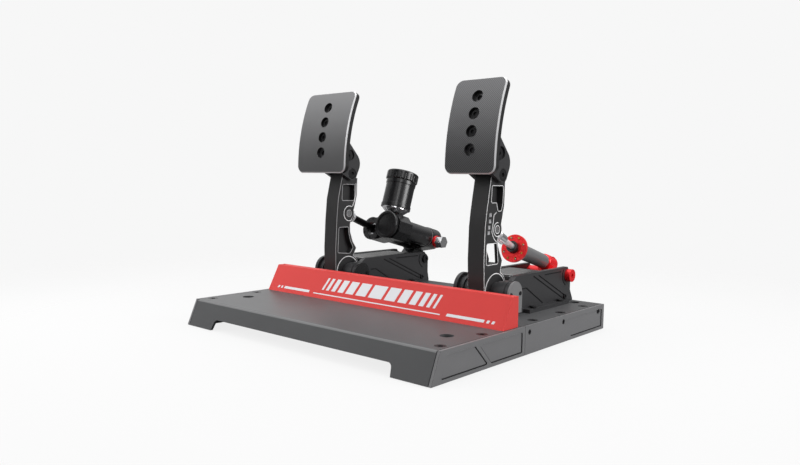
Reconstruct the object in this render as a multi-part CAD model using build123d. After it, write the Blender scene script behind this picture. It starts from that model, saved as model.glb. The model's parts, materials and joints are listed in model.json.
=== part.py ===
from build123d import *
import os
from math import asin, atan2, cos, degrees, hypot, pi, radians, sin, sqrt

# A two-pedal foot controller: a base plate with side rails and a heel stop,
# a brake pedal with a hydraulic cylinder and a throttle pedal with a damper.
# Lengths are millimetres, X is to the right, Y to the rear, Z up.

os.makedirs("parts", exist_ok=True)

# Base plate
base_width = 360.0
base_depth = 325.5
deck_top = 29.4
sheet = 3.0
foot_proud = 0.6
rail_web = 3.3
rail_ledge_width = 18.0
rail_ledge = 4.0
rail_flange_width = 18.0
rail_flange = 3.0
rail_joint_y = -14.0
side_fit = 0.15
half_gap = 0.15
lip_run = 12.35
lip_bend = 4.0
lip_foot_width = 44.5
lip_notch_height = 12.0
lip_notch_lean = 3.0
lip_notch_round = 5.0
panel_depth = 0.8
front_panel_a = ((-149.0, 4.2), (-78.0, 4.2), (-99.0, 24.6), (-141.0, 24.6))
front_panel_b = ((-73.0, 4.2), (-19.0, 4.2), (-19.0, 24.6), (-93.0, 24.6))
rear_panel = ((82.0, 4.2), (157.0, 4.2), (157.0, 24.6), (68.0, 24.6))
overrun = 2.0
socket_share = 0.6

# Holes and screws of the base
access_r = 6.75
access_inset = 31.6
access_front_y = -100.0
access_rear_y = 147.6
deck_screw_inset = 11.7
deck_screw_ys = (-135.5, -72.0, -34.0, 20.0, 78.3, 132.0)
screw_head_r = 5.7
screw_shank_r = 3.0
screw_sink = 2.7
screw_length = 7.6
screw_fit = 0.1
socket_across = 4.6
socket_depth = 1.8
rail_screw_z = 22.8
rail_screw_ys = (-5.6, 64.2, 148.9)
rail_screw_head_r = 2.6
rail_screw_head = 1.6
rail_screw_shank_r = 1.5
rail_screw_length = 8.0
foot_r = 6.5
foot_sunk = 2.0
foot_inset_x = 10.0
foot_ys = (-128.0, -60.0, 50.0, 140.0)

# Cross beam under the joint of the decks
beam_inset = 25.0
beam_depth = 44.0
beam_thick = 4.0
beam_web_height = 20.0

# Heel stop
stop_inset = 4.2
stop_front_y = -47.9
stop_top_front_y = -31.7
stop_back_y = -21.3
stop_height = 30.7
stop_sheet = 2.4
stop_tab = 13.0
stop_end_tab = 2.4
stop_end_fit = 0.1
stop_screw_shares = (-0.8, -0.28, 0.28, 0.8)
stop_hole_r = 1.6
stop_hole_inset = 6.0

# Pedal modules
pedal_inset = 68.5
pivot_y = 20.0
pivot_z = 53.7
cheek_inner = 22.75
cheek_thick = 6.0
cheek_top_z = 71.0
cheek_nose_r = 13.3
cheek_neck_share = 0.7
cheek_tail = 7.5
cheek_foot_width = 8.0
cheek_foot_thick = 4.0
cheek_foot_front_y = 48.0
cheek_foot_rear_y = 137.0
brake_rear_y = 152.5
throttle_rear_y = 146.5
rear_pivot_z = 61.0
rear_bolt_r = 4.0
rear_bolt_head_r = 7.5
rear_bolt_head = 6.6
rear_boss_groove_r = 12.0
groove_width = 1.5
groove_depth = 0.8
rear_arc_middle = 195.0
rear_arc_reach = 50.0
nose_grooves = (((52.5, 55.7), (88.5, 35.3)), ((44.0, 55.7), (52.5, 55.7)))
tail_grooves = (((68.0, 67.0), (-12.0, 35.5)), ((79.0, 67.0), (-1.0, 35.5)), ((93.0, 66.5), (-16.0, 66.5)))
shaft_r = 6.0
shaft_overhang = 2.0
drum_r = 11.4
drum_neck_r = 10.3
barrel_r = 11.8
barrel_step = 5.0
cap_r = 17.0
cap_thick = 4.6
housing_r = 12.6
housing_thick = 4.8
cover_thick = 2.0
cover_half = 13.3
cover_low_z = 33.0
cover_screw_r = 1.4
cover_screw_head_r = 2.2
cover_screw_head = 0.8
cover_screw_length = 3.0
tail_length = 13.0
tail_height = 14.0
tail_flare = 6.5
tail_flare_thick = 2.4
top_plate = 3.0
top_plate_drop = 1.0
top_plate_front_y = 42.0
brake_top_rear_y = 134.0
throttle_top_rear_y = 98.0
module_bolt_ys = (62.0, 122.0)
module_bolt_r = 2.0
module_bolt_head_r = 3.4
module_bolt_head = 2.2
module_bolt_length = 6.0
cheek_screw_head_r = 3.0
cheek_screw_head = 1.8
cheek_screw_shank_r = 2.0
cheek_screw_length = 12.0
side_gap = 0.3
running_fit = 0.05

# Pedal arms, as offsets from the pivot in Y and Z
arm_width = 20.4
arm_foot_r = 21.6
brake_front = ((-21.4, 4.0), (-22.0, 30.8), (-20.4, 65.8), (-18.2, 92.1), (-10.4, 125.0))
brake_rear = ((9.6, 19.7), (14.9, 29.2), (8.4, 37.8), (3.6, 50.6), (3.4, 60.0))
throttle_front = ((-21.4, 4.0), (-23.0, 35.4), (-22.0, 69.3), (-19.6, 86.2), (-12.0, 125.0))
throttle_rear = ((8.6, 18.7), (12.2, 32.6), (7.1, 41.8), (2.7, 51.0), (2.5, 56.0))
brake_upper_rear = ((10.6, 80.4), (15.3, 97.0), (15.9, 118.6))
throttle_upper_rear = ((9.9, 75.9), (14.2, 92.0), (14.7, 118.6))
brake_pin = (1.6, 74.0)
throttle_pin = (1.5, 66.2)
pin_boss_r = 8.6
pin_r = 4.0
pin_recess = 0.4
pin_cheek_share = 0.7
fork_slot_half = 4.4
fork_slot_front = 10.0
fork_slot_back = 26.0
fork_slot_low = 16.0
fork_slot_high = 15.0
tongue_low_r = 12.5
tongue_high_r = 8.5
tilt_pivot = (1.5, 124.1)
tilt_upper = (-6.0, 146.4)
tilt_reach = 8.0
tilt_slot_spare = 2.0
pocket_depth = 7.0
brake_pocket_high = ((-11.0, 90.5), (10.5, 90.5), (11.0, 110.5), (-10.0, 110.5))
brake_pocket_low = (
    (-17.5, 25.0), (3.0, 23.0), (9.0, 29.5), (3.8, 39.0), (0.6, 50.0), (0.4, 56.5), (-16.0, 56.5)
)
throttle_window = ((-18.2, 29.5), (4.0, 29.5), (1.0, 51.5), (-17.8, 51.5))
throttle_pocket = (
    (-11.0, 95.0), (-1.0, 95.0), (2.0, 86.0), (8.0, 86.0), (10.5, 94.0), (11.0, 112.5), (-10.0, 112.5)
)
light_hole = 4.0
channel_half = 6.6
channel_front = -18.0
channel_low = 29.5
channel_high = 51.5
light_holes = ((-12.3, 82.1), (-13.0, 75.5), (-14.2, 69.1), (-14.9, 63.5))
pocket_round = 2.0

# Foot faces
face_low = (-19.0, 178.0)
face_high = (2.0, 278.0)
face_radius = 215.0
face_thick = 7.0
brake_face_width = 85.0
throttle_face_width = 64.0
face_corner = 9.0
face_edge = 1.4
face_hole_pitch = 19.0
face_hole_shift = 2.0
face_bore_r = 6.5
face_bore = 5.0
face_screw_r = 3.0
face_head_r = 4.4
face_head = 2.6
face_screw_length = 6.0
ear_thick = 5.0
ear_lower_r = 8.2
ear_cam_r = 15.0
ear_cam = (0.0, 136.8)
ear_pad_r = 5.0
ear_pad_low = (-29.0, 136.0)
ear_pad_high = (-20.0, 173.0)
ear_front_reach = 30.0
ear_rear_reach = 90.0
ear_swing_share = 1.3
pad_thick = 5.0
pad_low_share = -0.42
pad_high_share = 0.46
ear_screw_r = 3.5
ear_head_r = 6.4
brake_bolt_head_r = 5.4
ear_head = 2.6
ear_recess = 2.6
ear_socket_share = 0.7
face_steps_share = (-1.5, -0.5, 0.5, 1.5)

# Brake hydraulics
cylinder_front = (74.0, 106.0)
cylinder_tilt = 14.5
cylinder_r = 12.0
bore_r = 9.2
cylinder_length = 98.0
cylinder_end_wall = 6.0
brake_flange_r = 15.3
brake_flange = 3.4
flange_hole_r = 8.4
flange_dimple_r = 1.3
flange_dimple_ring = 12.4
flange_dimple = 1.2
flange_dimple_count = 6
ball_r = 5.5
ball_depth = 8.0
ball_fit = 0.6
piston_length = 26.0
piston_gap = 0.5
piston_fit = 0.3
rod_r = 4.6
rod_neck_r = 3.0
rod_neck_length = 14.0
side_axis_x = 29.0
side_axis_rise = 6.1
side_axis_run = -4.5
side_tube_r = 13.3
side_tube_bore_r = 9.5
side_knob_r = 18.2
side_knob = 5.5
side_knob_edge = 1.0
side_knob_dish_r = 14.2
side_knob_dish = 1.6
manifold_r = 16.6
manifold_neck_start = 5.8
manifold_neck_r = 13.4
manifold_start = 10.0
manifold_length = 25.6
manifold_sides = 8
manifold_waist_share = 0.86
manifold_wall = 3.0
side_tube_end = 87.0
end_block_length = 22.0
end_block_r = 14.2
end_block_edge = 4.0
sensor_y = 159.0
sensor_z = 85.5
sensor_ring_r = 8.4
sensor_ring = 3.6
sensor_hex_across = 14.5
sensor_hex = 10.5
sensor_stub_r = 4.5
sensor_stub = 4.0
saddle_half = 10.0
saddle_boss_r = 8.6
saddle_run = 12.0
saddle_top_z = 72.0
saddle_foot = 6.0
saddle_share = 0.7

# Fluid reservoir
reservoir_x = 24.0
reservoir_base = (94.6, 132.2)
reservoir_lean = 18.0
reservoir_r = 19.2
reservoir_ring = 0.7
reservoir_ring_height = 5.0
reservoir_height = 37.5
reservoir_wall = 2.0
reservoir_neck_r = 17.0
reservoir_neck = 8.0
cap_outer_r = 21.3
cap_height = 12.0
cap_top = 3.0
cap_rib_count = 20
cap_rib_r = 1.1
cap_edge = 1.2
reservoir_stem_r = 6.0
reservoir_stem_sink = 15.0
reservoir_gap = 0.3

# Throttle damper: the rod's own distances run from the arm pin, the body's from its front face
damper_rod_r = 3.5
damper_rod_end = 60.0
damper_cross = 58.0
damper_cross_depth = 3.0
damper_body_tilt = 16.8
damper_gland_start = 50.0
damper_gland_end = 57.5
damper_flange = 4.0
damper_flange_r = 16.0
damper_gland_r = 6.6
damper_front_r = 9.0
damper_rear_r = 8.4
damper_bore_end = 79.0
damper_seam = 70.0
damper_end = 92.0
gland_fit = 0.8
knuckle_r = 9.8
knuckle_belt_r = 8.6
knuckle_belt_at = 82.0
knuckle_belt_half = 7.0
knuckle_round = 3.0
knuckle_boss_r = 7.5
flange_hole_count = 8

# Rod ends
eye_r = 8.0
eye_half = 4.0
eye_window_r = 2.6
eye_window_at = 12.2
eye_length = 18.0
eye_neck_share = 1.8
nut_across = 11.0
nut_thick = 4.0

hx = base_width / 2
hy = base_depth / 2
rail_inner = hx - rail_web
access_x = hx - access_inset
deck_screw_x = hx - deck_screw_inset
beam_half_length = hx - beam_inset
stop_half_length = hx - stop_inset
stop_screw_xs = [share * stop_half_length for share in stop_screw_shares]
pedal_x = hx - pedal_inset
deck_under = deck_top - sheet
lip_top_y = -hy + lip_run
lip_slope = lip_run / deck_top
cheek_outer = cheek_inner + cheek_thick
arm_half = arm_width / 2
ear_inner = arm_half + side_gap
ear_outer = ear_inner + ear_thick


def side_plane(x):
    return Plane(origin=(x, 0, 0), x_dir=(0, 1, 0), z_dir=(1, 0, 0))


def front_plane(y):
    return Plane(origin=(0, y, 0), x_dir=(1, 0, 0), z_dir=(0, -1, 0))


def flat_plane(z):
    return Plane(origin=(0, 0, z))


def block(x0, x1, y0, y1, z0, z1):
    return Pos((x0 + x1) / 2, (y0 + y1) / 2, (z0 + z1) / 2) * Box(x1 - x0, y1 - y0, z1 - z0)


# A polygon whose face always looks along its plane, whichever way it is listed
def poly(*points):
    turns = zip(points, points[1:] + points[:1])
    area = sum(a[0] * b[1] - b[0] * a[1] for a, b in turns)
    ordered = points if area > 0 else tuple(reversed(points))
    return Polygon(*ordered, align=None)


def outline(points, round_by=0.0):
    shape = poly(*points)
    if round_by > 0:
        shape = fillet(shape.vertices(), round_by)
    return shape


def push(plane, sketch, amount):
    return extrude(plane * sketch, amount=amount, dir=plane.z_dir)


def side_solid(sketch, x0, x1):
    return push(side_plane(x0), sketch, x1 - x0)


def rod_x(y, z, r, x0, x1):
    return side_solid(Pos(y, z) * Circle(r), x0, x1)


def rod_z(x, y, r, z0, z1):
    return Pos(x, y, (z0 + z1) / 2) * Cylinder(r, z1 - z0)


def from_pivot(points):
    return [(pivot_y + y, pivot_z + z) for y, z in points]


# A strip with round ends that are tangent to its two straight edges
def belt(a, ra, b, rb):
    length = hypot(b[0] - a[0], b[1] - a[1])
    heading = atan2(b[1] - a[1], b[0] - a[0])
    spread = pi / 2 + asin((rb - ra) / length)
    corners = []
    for centre, r, turn in ((a, ra, spread), (b, rb, spread), (b, rb, -spread), (a, ra, -spread)):
        angle = heading + turn
        corners.append((centre[0] + r * cos(angle), centre[1] + r * sin(angle)))
    body = poly(*corners)
    return body + Pos(*a) * Circle(ra) + Pos(*b) * Circle(rb)


# A slot that follows an arc about a centre, angles in degrees from the first axis
def arc_slot(centre, r, middle, reach, half):
    def at(radius, angle):
        return (centre[0] + radius * cos(radians(angle)), centre[1] + radius * sin(radians(angle)))

    low = middle - reach
    high = middle + reach
    edges = ThreePointArc(at(r + half, low), at(r + half, middle), at(r + half, high))
    edges += Line(at(r + half, high), at(r - half, high))
    edges += ThreePointArc(at(r - half, high), at(r - half, middle), at(r - half, low))
    edges += Line(at(r - half, low), at(r + half, low))
    body = make_face(edges)
    return body + Pos(*at(r, low)) * Circle(half) + Pos(*at(r, high)) * Circle(half)


def tilted_plane(x, start, tilt):
    direction = (0, cos(radians(tilt)), -sin(radians(tilt)))
    return Plane(origin=(x, start[0], start[1]), x_dir=(1, 0, 0), z_dir=direction)


def along(plane, r, s0, s1):
    return push(plane.offset(s0), Circle(r), s1 - s0)


def hex_along(plane, across, s0, s1):
    return push(plane.offset(s0), RegularPolygon(across / 2, 6, major_radius=False), s1 - s0)


def cone_along(plane, r0, r1, s0, s1):
    middle = plane.offset((s0 + s1) / 2)
    return middle * Cone(r0, r1, s1 - s0)


# Screws stand with the head on top at zero and the shank down
def sunk_screw():
    head = Pos(0, 0, -screw_sink / 2) * Cone(screw_shank_r, screw_head_r, screw_sink)
    shank = Pos(0, 0, -screw_length / 2) * Cylinder(screw_shank_r, screw_length)
    socket = extrude(RegularPolygon(socket_across / 2, 6, major_radius=False), amount=-socket_depth)
    return head + shank - socket


def sunk_hole(depth):
    cone = Pos(0, 0, -screw_sink / 2) * Cone(screw_shank_r, screw_head_r, screw_sink)
    lead = Pos(0, 0, overrun / 2) * Cylinder(screw_head_r, overrun)
    return cone + lead + Pos(0, 0, -depth / 2) * Cylinder(screw_shank_r + screw_fit, depth)


def cap_screw(head_r, head, shank_r, length, across):
    body = Pos(0, 0, head / 2) * Cylinder(head_r, head)
    body += Pos(0, 0, -length / 2) * Cylinder(shank_r, length)
    socket = flat_plane(head) * RegularPolygon(across / 2, 6, major_radius=False)
    return body - extrude(socket, amount=-head * socket_share)


nodes = {}


def put(name, shape):
    nodes[name] = shape if isinstance(shape, list) else [shape]


# Side rails with a ledge under the deck and a bottom flange
def rail(side, y0, y1):
    inner = side * rail_inner
    outer = side * hx
    low, high = sorted((inner, outer))
    body = block(low, high, y0, y1, foot_proud, deck_top)
    ledge_low, ledge_high = sorted((outer, side * (rail_inner - rail_ledge_width)))
    body += block(ledge_low, ledge_high, y0, y1, deck_under - rail_ledge, deck_under)
    flange_low, flange_high = sorted((outer, side * (hx - rail_flange_width)))
    return body + block(flange_low, flange_high, y0, y1, foot_proud, foot_proud + rail_flange)


def panel(side, corners):
    face = outline(corners, groove_width)
    if side > 0:
        return side_solid(face, hx - panel_depth, hx + overrun)
    return side_solid(face, -hx - overrun, -hx + panel_depth)


def front_cut():
    reach = overrun + lip_run
    points = (
        (-hy - reach, -overrun),
        (-hy - lip_slope * overrun, -overrun),
        (lip_top_y + lip_slope * overrun, deck_top + overrun),
        (-hy - reach, deck_top + overrun),
    )
    return side_solid(poly(*points), -hx - overrun, hx + overrun)


# Room for the folded lip in front of the ledge and the flange
def lip_room():
    depth = sheet * sqrt(1 + lip_slope**2) + side_fit + lip_bend - sheet
    points = (
        (-hy - lip_run, -overrun),
        (-hy - lip_slope * overrun + depth, -overrun),
        (lip_top_y + lip_slope * overrun + depth, deck_top + overrun),
        (-hy - lip_run, deck_top + overrun),
    )
    return side_solid(poly(*points), -rail_inner, rail_inner)


for side, word in ((-1, "left"), (1, "right")):
    front = rail(side, -hy, rail_joint_y - half_gap) - front_cut() - lip_room()
    front -= panel(side, front_panel_a)
    front -= panel(side, front_panel_b)
    rear = rail(side, rail_joint_y + half_gap, hy)
    rear -= panel(side, rear_panel)
    ledge_low = deck_under - rail_ledge - overrun
    for y in deck_screw_ys:
        hole = rod_z(side * deck_screw_x, y, screw_shank_r + screw_fit, ledge_low, deck_top)
        front -= hole
        rear -= hole
    for y in foot_ys:
        seat = rod_z(side * (hx - foot_inset_x), y, foot_r, foot_proud - overrun, foot_proud + foot_sunk)
        front -= seat
        rear -= seat
    for y in rail_screw_ys:
        low = side * (hx - rail_screw_length - overrun)
        high = side * (hx + overrun)
        shank = rod_x(y, rail_screw_z, rail_screw_shank_r + screw_fit, min(low, high), max(low, high))
        sink = side * (hx - rail_screw_head)
        bore = rod_x(y, rail_screw_z, rail_screw_head_r + screw_fit, min(sink, high), max(sink, high))
        rear -= shank + bore
    put("rail_front_" + word, front)
    put("rail_rear_" + word, rear)

# Rubber feet pressed into the bottom flanges
feet = []
for side in (-1, 1):
    for y in foot_ys:
        feet.append(rod_z(side * (hx - foot_inset_x), y, foot_r, 0, foot_proud + foot_sunk))
put("rubber_feet", feet)

# Front deck with its folded front lip
def lip_y(z):
    return -hy + lip_slope * z


inner_shift = sheet * sqrt(1 + lip_slope**2)
front_profile = poly(
    (rail_joint_y - half_gap, deck_top),
    (lip_y(deck_top), deck_top),
    (lip_y(foot_proud), foot_proud),
    (lip_y(foot_proud) + inner_shift, foot_proud),
    (lip_y(deck_under) + inner_shift, deck_under),
    (rail_joint_y - half_gap, deck_under),
)
bend_corner = front_profile.vertices().sort_by_distance((lip_y(deck_top), deck_top, 0))[0]
front_profile = fillet(bend_corner, lip_bend)
inner_point = (lip_y(deck_under) + inner_shift, deck_under, 0)
inner_corner = front_profile.vertices().sort_by_distance(inner_point)[0]
front_profile = fillet(inner_corner, lip_bend - sheet)
deck_half = rail_inner - side_fit
front_deck = side_solid(front_profile, -deck_half, deck_half)
notch_half = deck_half - lip_foot_width
notch = poly(
    (-notch_half - lip_notch_lean, -overrun),
    (notch_half + lip_notch_lean, -overrun),
    (notch_half, lip_notch_height),
    (-notch_half, lip_notch_height),
)
notch = fillet(notch.vertices().group_by(Axis.Y)[-1], lip_notch_round)
front_deck -= push(front_plane(-hy + lip_run), notch, lip_run + overrun)

rear_deck = block(-deck_half, deck_half, rail_joint_y + half_gap, hy, deck_under, deck_top)
flange_half = deck_half - rail_ledge_width
rear_deck += block(-flange_half, flange_half, hy - sheet, hy, foot_proud + rail_flange, deck_top)

deck_holes = []
for side in (-1, 1):
    for y in (access_front_y, access_rear_y):
        deck_holes.append(rod_z(side * access_x, y, access_r, deck_under - overrun, deck_top + overrun))
    for y in deck_screw_ys:
        deck_holes.append(Pos(side * deck_screw_x, y, deck_top) * sunk_hole(screw_length + overrun))
stop_screw_y = stop_back_y - stop_sheet - stop_tab / 2
for x in stop_screw_xs:
    deck_holes.append(rod_z(x, stop_screw_y, screw_shank_r + screw_fit, 0, deck_top + overrun))
for side in (-1, 1):
    for edge in (-1, 1):
        for y in module_bolt_ys:
            bolt_x = side * pedal_x + edge * (cheek_outer + cheek_foot_width / 2)
            deck_holes.append(rod_z(bolt_x, y, module_bolt_r + screw_fit, 0, deck_top + overrun))
for hole in deck_holes:
    front_deck -= hole
    rear_deck -= hole

put("front_deck", front_deck)
put("rear_deck", rear_deck)

# Cross beam that carries both decks at their joint
beam_y0 = rail_joint_y - beam_depth / 2
beam_y1 = rail_joint_y + beam_depth / 2
beam = block(-beam_half_length, beam_half_length, beam_y0, beam_y1, deck_under - beam_thick, deck_under)
web_low = deck_under - beam_web_height
for y in (beam_y0, beam_y1 - beam_thick):
    beam += block(-beam_half_length, beam_half_length, y, y + beam_thick, web_low, deck_under)
for x in stop_screw_xs:
    beam -= rod_z(x, stop_screw_y, screw_shank_r + screw_fit, web_low, deck_top)
put("cross_beam", beam)

# Screws of the decks
screws = []
for side in (-1, 1):
    for y in deck_screw_ys:
        screws.append(Pos(side * deck_screw_x, y, deck_top) * sunk_screw())
put("deck_screws", screws)

# Screws in the sides of the rear rails
rail_screws = []
for side in (-1, 1):
    for y in rail_screw_ys:
        screw = cap_screw(
            rail_screw_head_r, rail_screw_head, rail_screw_shank_r, rail_screw_length, rail_screw_head_r
        )
        seat = (side * (hx - rail_screw_head), y, rail_screw_z)
        place = Plane(origin=seat, x_dir=(0, 1, 0), z_dir=(side, 0, 0))
        rail_screws.append(place.location * screw)
put("rail_screws", rail_screws)

# Heel stop, a bent sheet with closed ends and a hollow inside
stop_low = deck_top
stop_high = deck_top + stop_height
stop_outer = poly(
    (stop_front_y, stop_low),
    (stop_back_y, stop_low),
    (stop_back_y, stop_high),
    (stop_top_front_y, stop_high),
)
stop_lean = (stop_top_front_y - stop_front_y) / stop_height
stop_shift = stop_sheet * sqrt(1 + stop_lean**2)
stop_inner = poly(
    (stop_front_y + stop_shift - stop_lean * overrun, stop_low - overrun),
    (stop_back_y - stop_sheet, stop_low - overrun),
    (stop_back_y - stop_sheet, stop_high - stop_sheet),
    (stop_top_front_y + stop_shift - stop_lean * stop_sheet, stop_high - stop_sheet),
)
stop_inner_half = stop_half_length - stop_end_tab
stop_bend_half = stop_inner_half - stop_end_fit
heel_stop = side_solid(stop_outer, -stop_bend_half, stop_bend_half)
heel_stop -= side_solid(stop_inner, -stop_bend_half, stop_bend_half)
tab_front = stop_back_y - stop_sheet - stop_tab
tab_top = stop_low + stop_sheet
heel_stop += block(-stop_bend_half, stop_bend_half, tab_front, stop_back_y, stop_low, tab_top)
for x in stop_screw_xs:
    heel_stop -= rod_z(x, stop_screw_y, screw_shank_r + screw_fit, stop_low - overrun, tab_top + overrun)
hole_y = (stop_top_front_y + stop_back_y) / 2
for side in (-1, 1):
    hole_x = side * (stop_half_length - stop_hole_inset)
    heel_stop -= rod_z(hole_x, hole_y, stop_hole_r, stop_high - stop_sheet - overrun, stop_high + overrun)
stop_ends = [side_solid(stop_outer, *ends) for ends in (
    (-stop_half_length, -stop_inner_half), (stop_inner_half, stop_half_length)
)]
put("heel_stop", [heel_stop, *stop_ends])

stop_screws = []
stop_screw_length = stop_sheet + sheet + beam_thick + overrun
for x in stop_screw_xs:
    screw = cap_screw(screw_head_r, screw_sink, screw_shank_r, stop_screw_length, socket_across)
    stop_screws.append(Pos(x, stop_screw_y, stop_low + stop_sheet) * screw)
put("heel_stop_screws", stop_screws)


# One pedal module: two cheeks, their rear block, the pivot and its sensor
def cheek_sketch(rear_y):
    tail_y = rear_y + cheek_tail
    nose = belt((pivot_y, pivot_z), cheek_nose_r, (pivot_y, deck_top + cheek_nose_r), cheek_nose_r)
    body = poly(
        (pivot_y, deck_top),
        (tail_y, deck_top),
        (tail_y, rear_pivot_z),
        (rear_y, cheek_top_z),
        (pivot_y + cheek_nose_r, cheek_top_z),
        (pivot_y, pivot_z + cheek_nose_r * cheek_neck_share),
    )
    body += nose
    front_foot = poly(
        (pivot_y - cheek_nose_r, deck_top),
        (pivot_y, deck_top),
        (pivot_y, deck_top + cheek_nose_r),
        (pivot_y - cheek_nose_r, deck_top + cheek_nose_r),
    )
    return body + front_foot + Pos(rear_y, rear_pivot_z) * Circle(cheek_tail)


def groove_line(a, b):
    return belt(a, groove_width / 2, b, groove_width / 2)


def cheek_grooves(rear_y):
    arc_centre = (rear_y, rear_pivot_z)
    lines = arc_slot(arc_centre, rear_boss_groove_r, rear_arc_middle, rear_arc_reach, groove_width / 2)
    for start, stop in nose_grooves:
        lines += groove_line(start, stop)
    for start, stop in tail_grooves:
        lines += groove_line(start, (rear_y + stop[0], stop[1]))
    return lines


def build_module(word, cx, rear_y, top_rear_y):
    for side, name in ((-1, "left"), (1, "right")):
        inner = cx + side * cheek_inner
        outer = cx + side * cheek_outer
        low, high = sorted((inner, outer))
        cheek = side_solid(cheek_sketch(rear_y), low, high)
        foot_low, foot_high = sorted((inner, outer + side * cheek_foot_width))
        foot_top = deck_top + cheek_foot_thick
        foot = block(foot_low, foot_high, cheek_foot_front_y, cheek_foot_rear_y, deck_top, foot_top)
        cheek += foot
        cut_low, cut_high = sorted((outer - side * groove_depth, outer + side * overrun))
        grooves = side_solid(cheek_grooves(rear_y), cut_low, cut_high)
        cheek -= grooves - foot
        cheek -= rod_x(pivot_y, pivot_z, drum_neck_r, low - overrun, high + overrun)
        cheek -= rod_x(rear_y, rear_pivot_z, rear_bolt_r, low - overrun, high + overrun)
        screw_y = rear_y - tail_length / 2
        screw_z = deck_top + tail_height / 2
        cheek -= rod_x(screw_y, screw_z, cheek_screw_shank_r, low - overrun, high + overrun)
        for y in module_bolt_ys:
            bolt_x = outer + side * cheek_foot_width / 2
            cheek -= rod_z(bolt_x, y, module_bolt_r + screw_fit, deck_top - overrun, foot_top + overrun)
        put(word + "_cheek_" + name, cheek)

    # Rear block between the cheeks, flared down to the deck behind them
    tail_y = rear_y + cheek_tail
    flare_low = max(groove_width, min(tail_flare, hy - tail_y - half_gap))
    tail = side_solid(
        poly(
            (tail_y - tail_length, deck_top),
            (tail_y + flare_low, deck_top),
            (tail_y + flare_low, deck_top + tail_flare_thick),
            (tail_y, deck_top + tail_height),
            (tail_y - tail_length, deck_top + tail_height),
        ),
        cx - cheek_inner,
        cx + cheek_inner,
    )
    wing = poly(
        (tail_y, deck_top),
        (tail_y + flare_low, deck_top),
        (tail_y + flare_low, deck_top + tail_flare_thick),
        (tail_y, deck_top + tail_height),
    )
    tail += side_solid(wing, cx - cheek_outer, cx + cheek_outer)
    for side in (-1, 1):
        deep = cheek_inner - cheek_screw_length + cheek_thick
        low, high = sorted((cx + side * deep, cx + side * cheek_inner))
        tail -= rod_x(rear_y - tail_length / 2, deck_top + tail_height / 2, cheek_screw_shank_r, low, high)
    put(word + "_rear_block", tail)

    # Top plate between the cheeks
    top_high = cheek_top_z - top_plate_drop
    top_low = top_high - top_plate
    top = block(cx - cheek_inner, cx + cheek_inner, top_plate_front_y, top_rear_y, top_low, top_high)
    put(word + "_top_plate", top)

    # Pivot shaft held by the drum on the left and the barrel on the right
    shaft_half = cheek_outer + shaft_overhang
    put(word + "_pivot_shaft", rod_x(pivot_y, pivot_z, shaft_r, cx - shaft_half, cx + shaft_half))
    drum = rod_x(pivot_y, pivot_z, drum_r, cx - cheek_inner, cx - arm_half - side_gap)
    drum += rod_x(pivot_y, pivot_z, drum_neck_r, cx - cheek_outer, cx - cheek_inner)
    drum += rod_x(pivot_y, pivot_z, cap_r, cx - cheek_outer - cap_thick, cx - cheek_outer)
    drum -= rod_x(pivot_y, pivot_z, shaft_r, cx - shaft_half, cx)
    put(word + "_pivot_drum", drum)
    barrel = rod_x(pivot_y, pivot_z, drum_neck_r, cx + arm_half + side_gap, cx + cheek_outer)
    barrel += rod_x(pivot_y, pivot_z, barrel_r, cx + arm_half + side_gap + barrel_step, cx + cheek_inner)
    barrel += rod_x(pivot_y, pivot_z, housing_r, cx + cheek_outer, cx + cheek_outer + housing_thick)
    barrel -= rod_x(pivot_y, pivot_z, shaft_r, cx, cx + shaft_half)
    cover_x = cx + cheek_outer + housing_thick
    for sign in (-1, 1):
        screw_y = pivot_y + sign * (housing_r - cover_screw_head_r - cover_screw_r)
        barrel -= rod_x(screw_y, pivot_z, cover_screw_r, cover_x - cover_screw_length, cover_x)
    put(word + "_sensor_barrel", barrel)

    # Sensor cover with a round top and a square foot
    cover = belt((pivot_y, pivot_z), cover_half, (pivot_y, cover_low_z + cover_half), cover_half)
    cover += poly(
        (pivot_y - cover_half, cover_low_z),
        (pivot_y + cover_half, cover_low_z),
        (pivot_y + cover_half, cover_low_z + cover_half),
        (pivot_y - cover_half, cover_low_z + cover_half),
    )
    plate = side_solid(cover, cover_x, cover_x + cover_thick)
    for sign in (-1, 1):
        screw_y = pivot_y + sign * (housing_r - cover_screw_head_r - cover_screw_r)
        plate -= rod_x(screw_y, pivot_z, cover_screw_r, cover_x, cover_x + cover_thick)
    put(word + "_sensor_cover", plate)


# Bolt through the rear of the cheeks with a head on the right and a nut on the left
def rear_bolt(word, cx, rear_y, head_r, head):
    shank_low = cx - cheek_outer
    bolt = rod_x(rear_y, rear_pivot_z, rear_bolt_r, shank_low, cx + cheek_outer)
    bolt += rod_x(rear_y, rear_pivot_z, head_r, cx + cheek_outer, cx + cheek_outer + head)
    plane = Plane(origin=(shank_low, rear_y, rear_pivot_z), x_dir=(0, 1, 0), z_dir=(-1, 0, 0))
    bolt += hex_along(plane, nut_across, 0, nut_thick)
    top = Plane(origin=(cx + cheek_outer + head, rear_y, rear_pivot_z), x_dir=(0, 1, 0), z_dir=(-1, 0, 0))
    bolt -= hex_along(top, socket_across, 0, head * socket_share)
    put(word + "_rear_bolt", bolt)


build_module("brake", -pedal_x, brake_rear_y, brake_top_rear_y)
build_module("throttle", pedal_x, throttle_rear_y, throttle_top_rear_y)
rear_bolt("brake", -pedal_x, brake_rear_y, brake_bolt_head_r, ear_head)
rear_bolt("throttle", pedal_x, throttle_rear_y, rear_bolt_head_r, rear_bolt_head)

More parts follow.
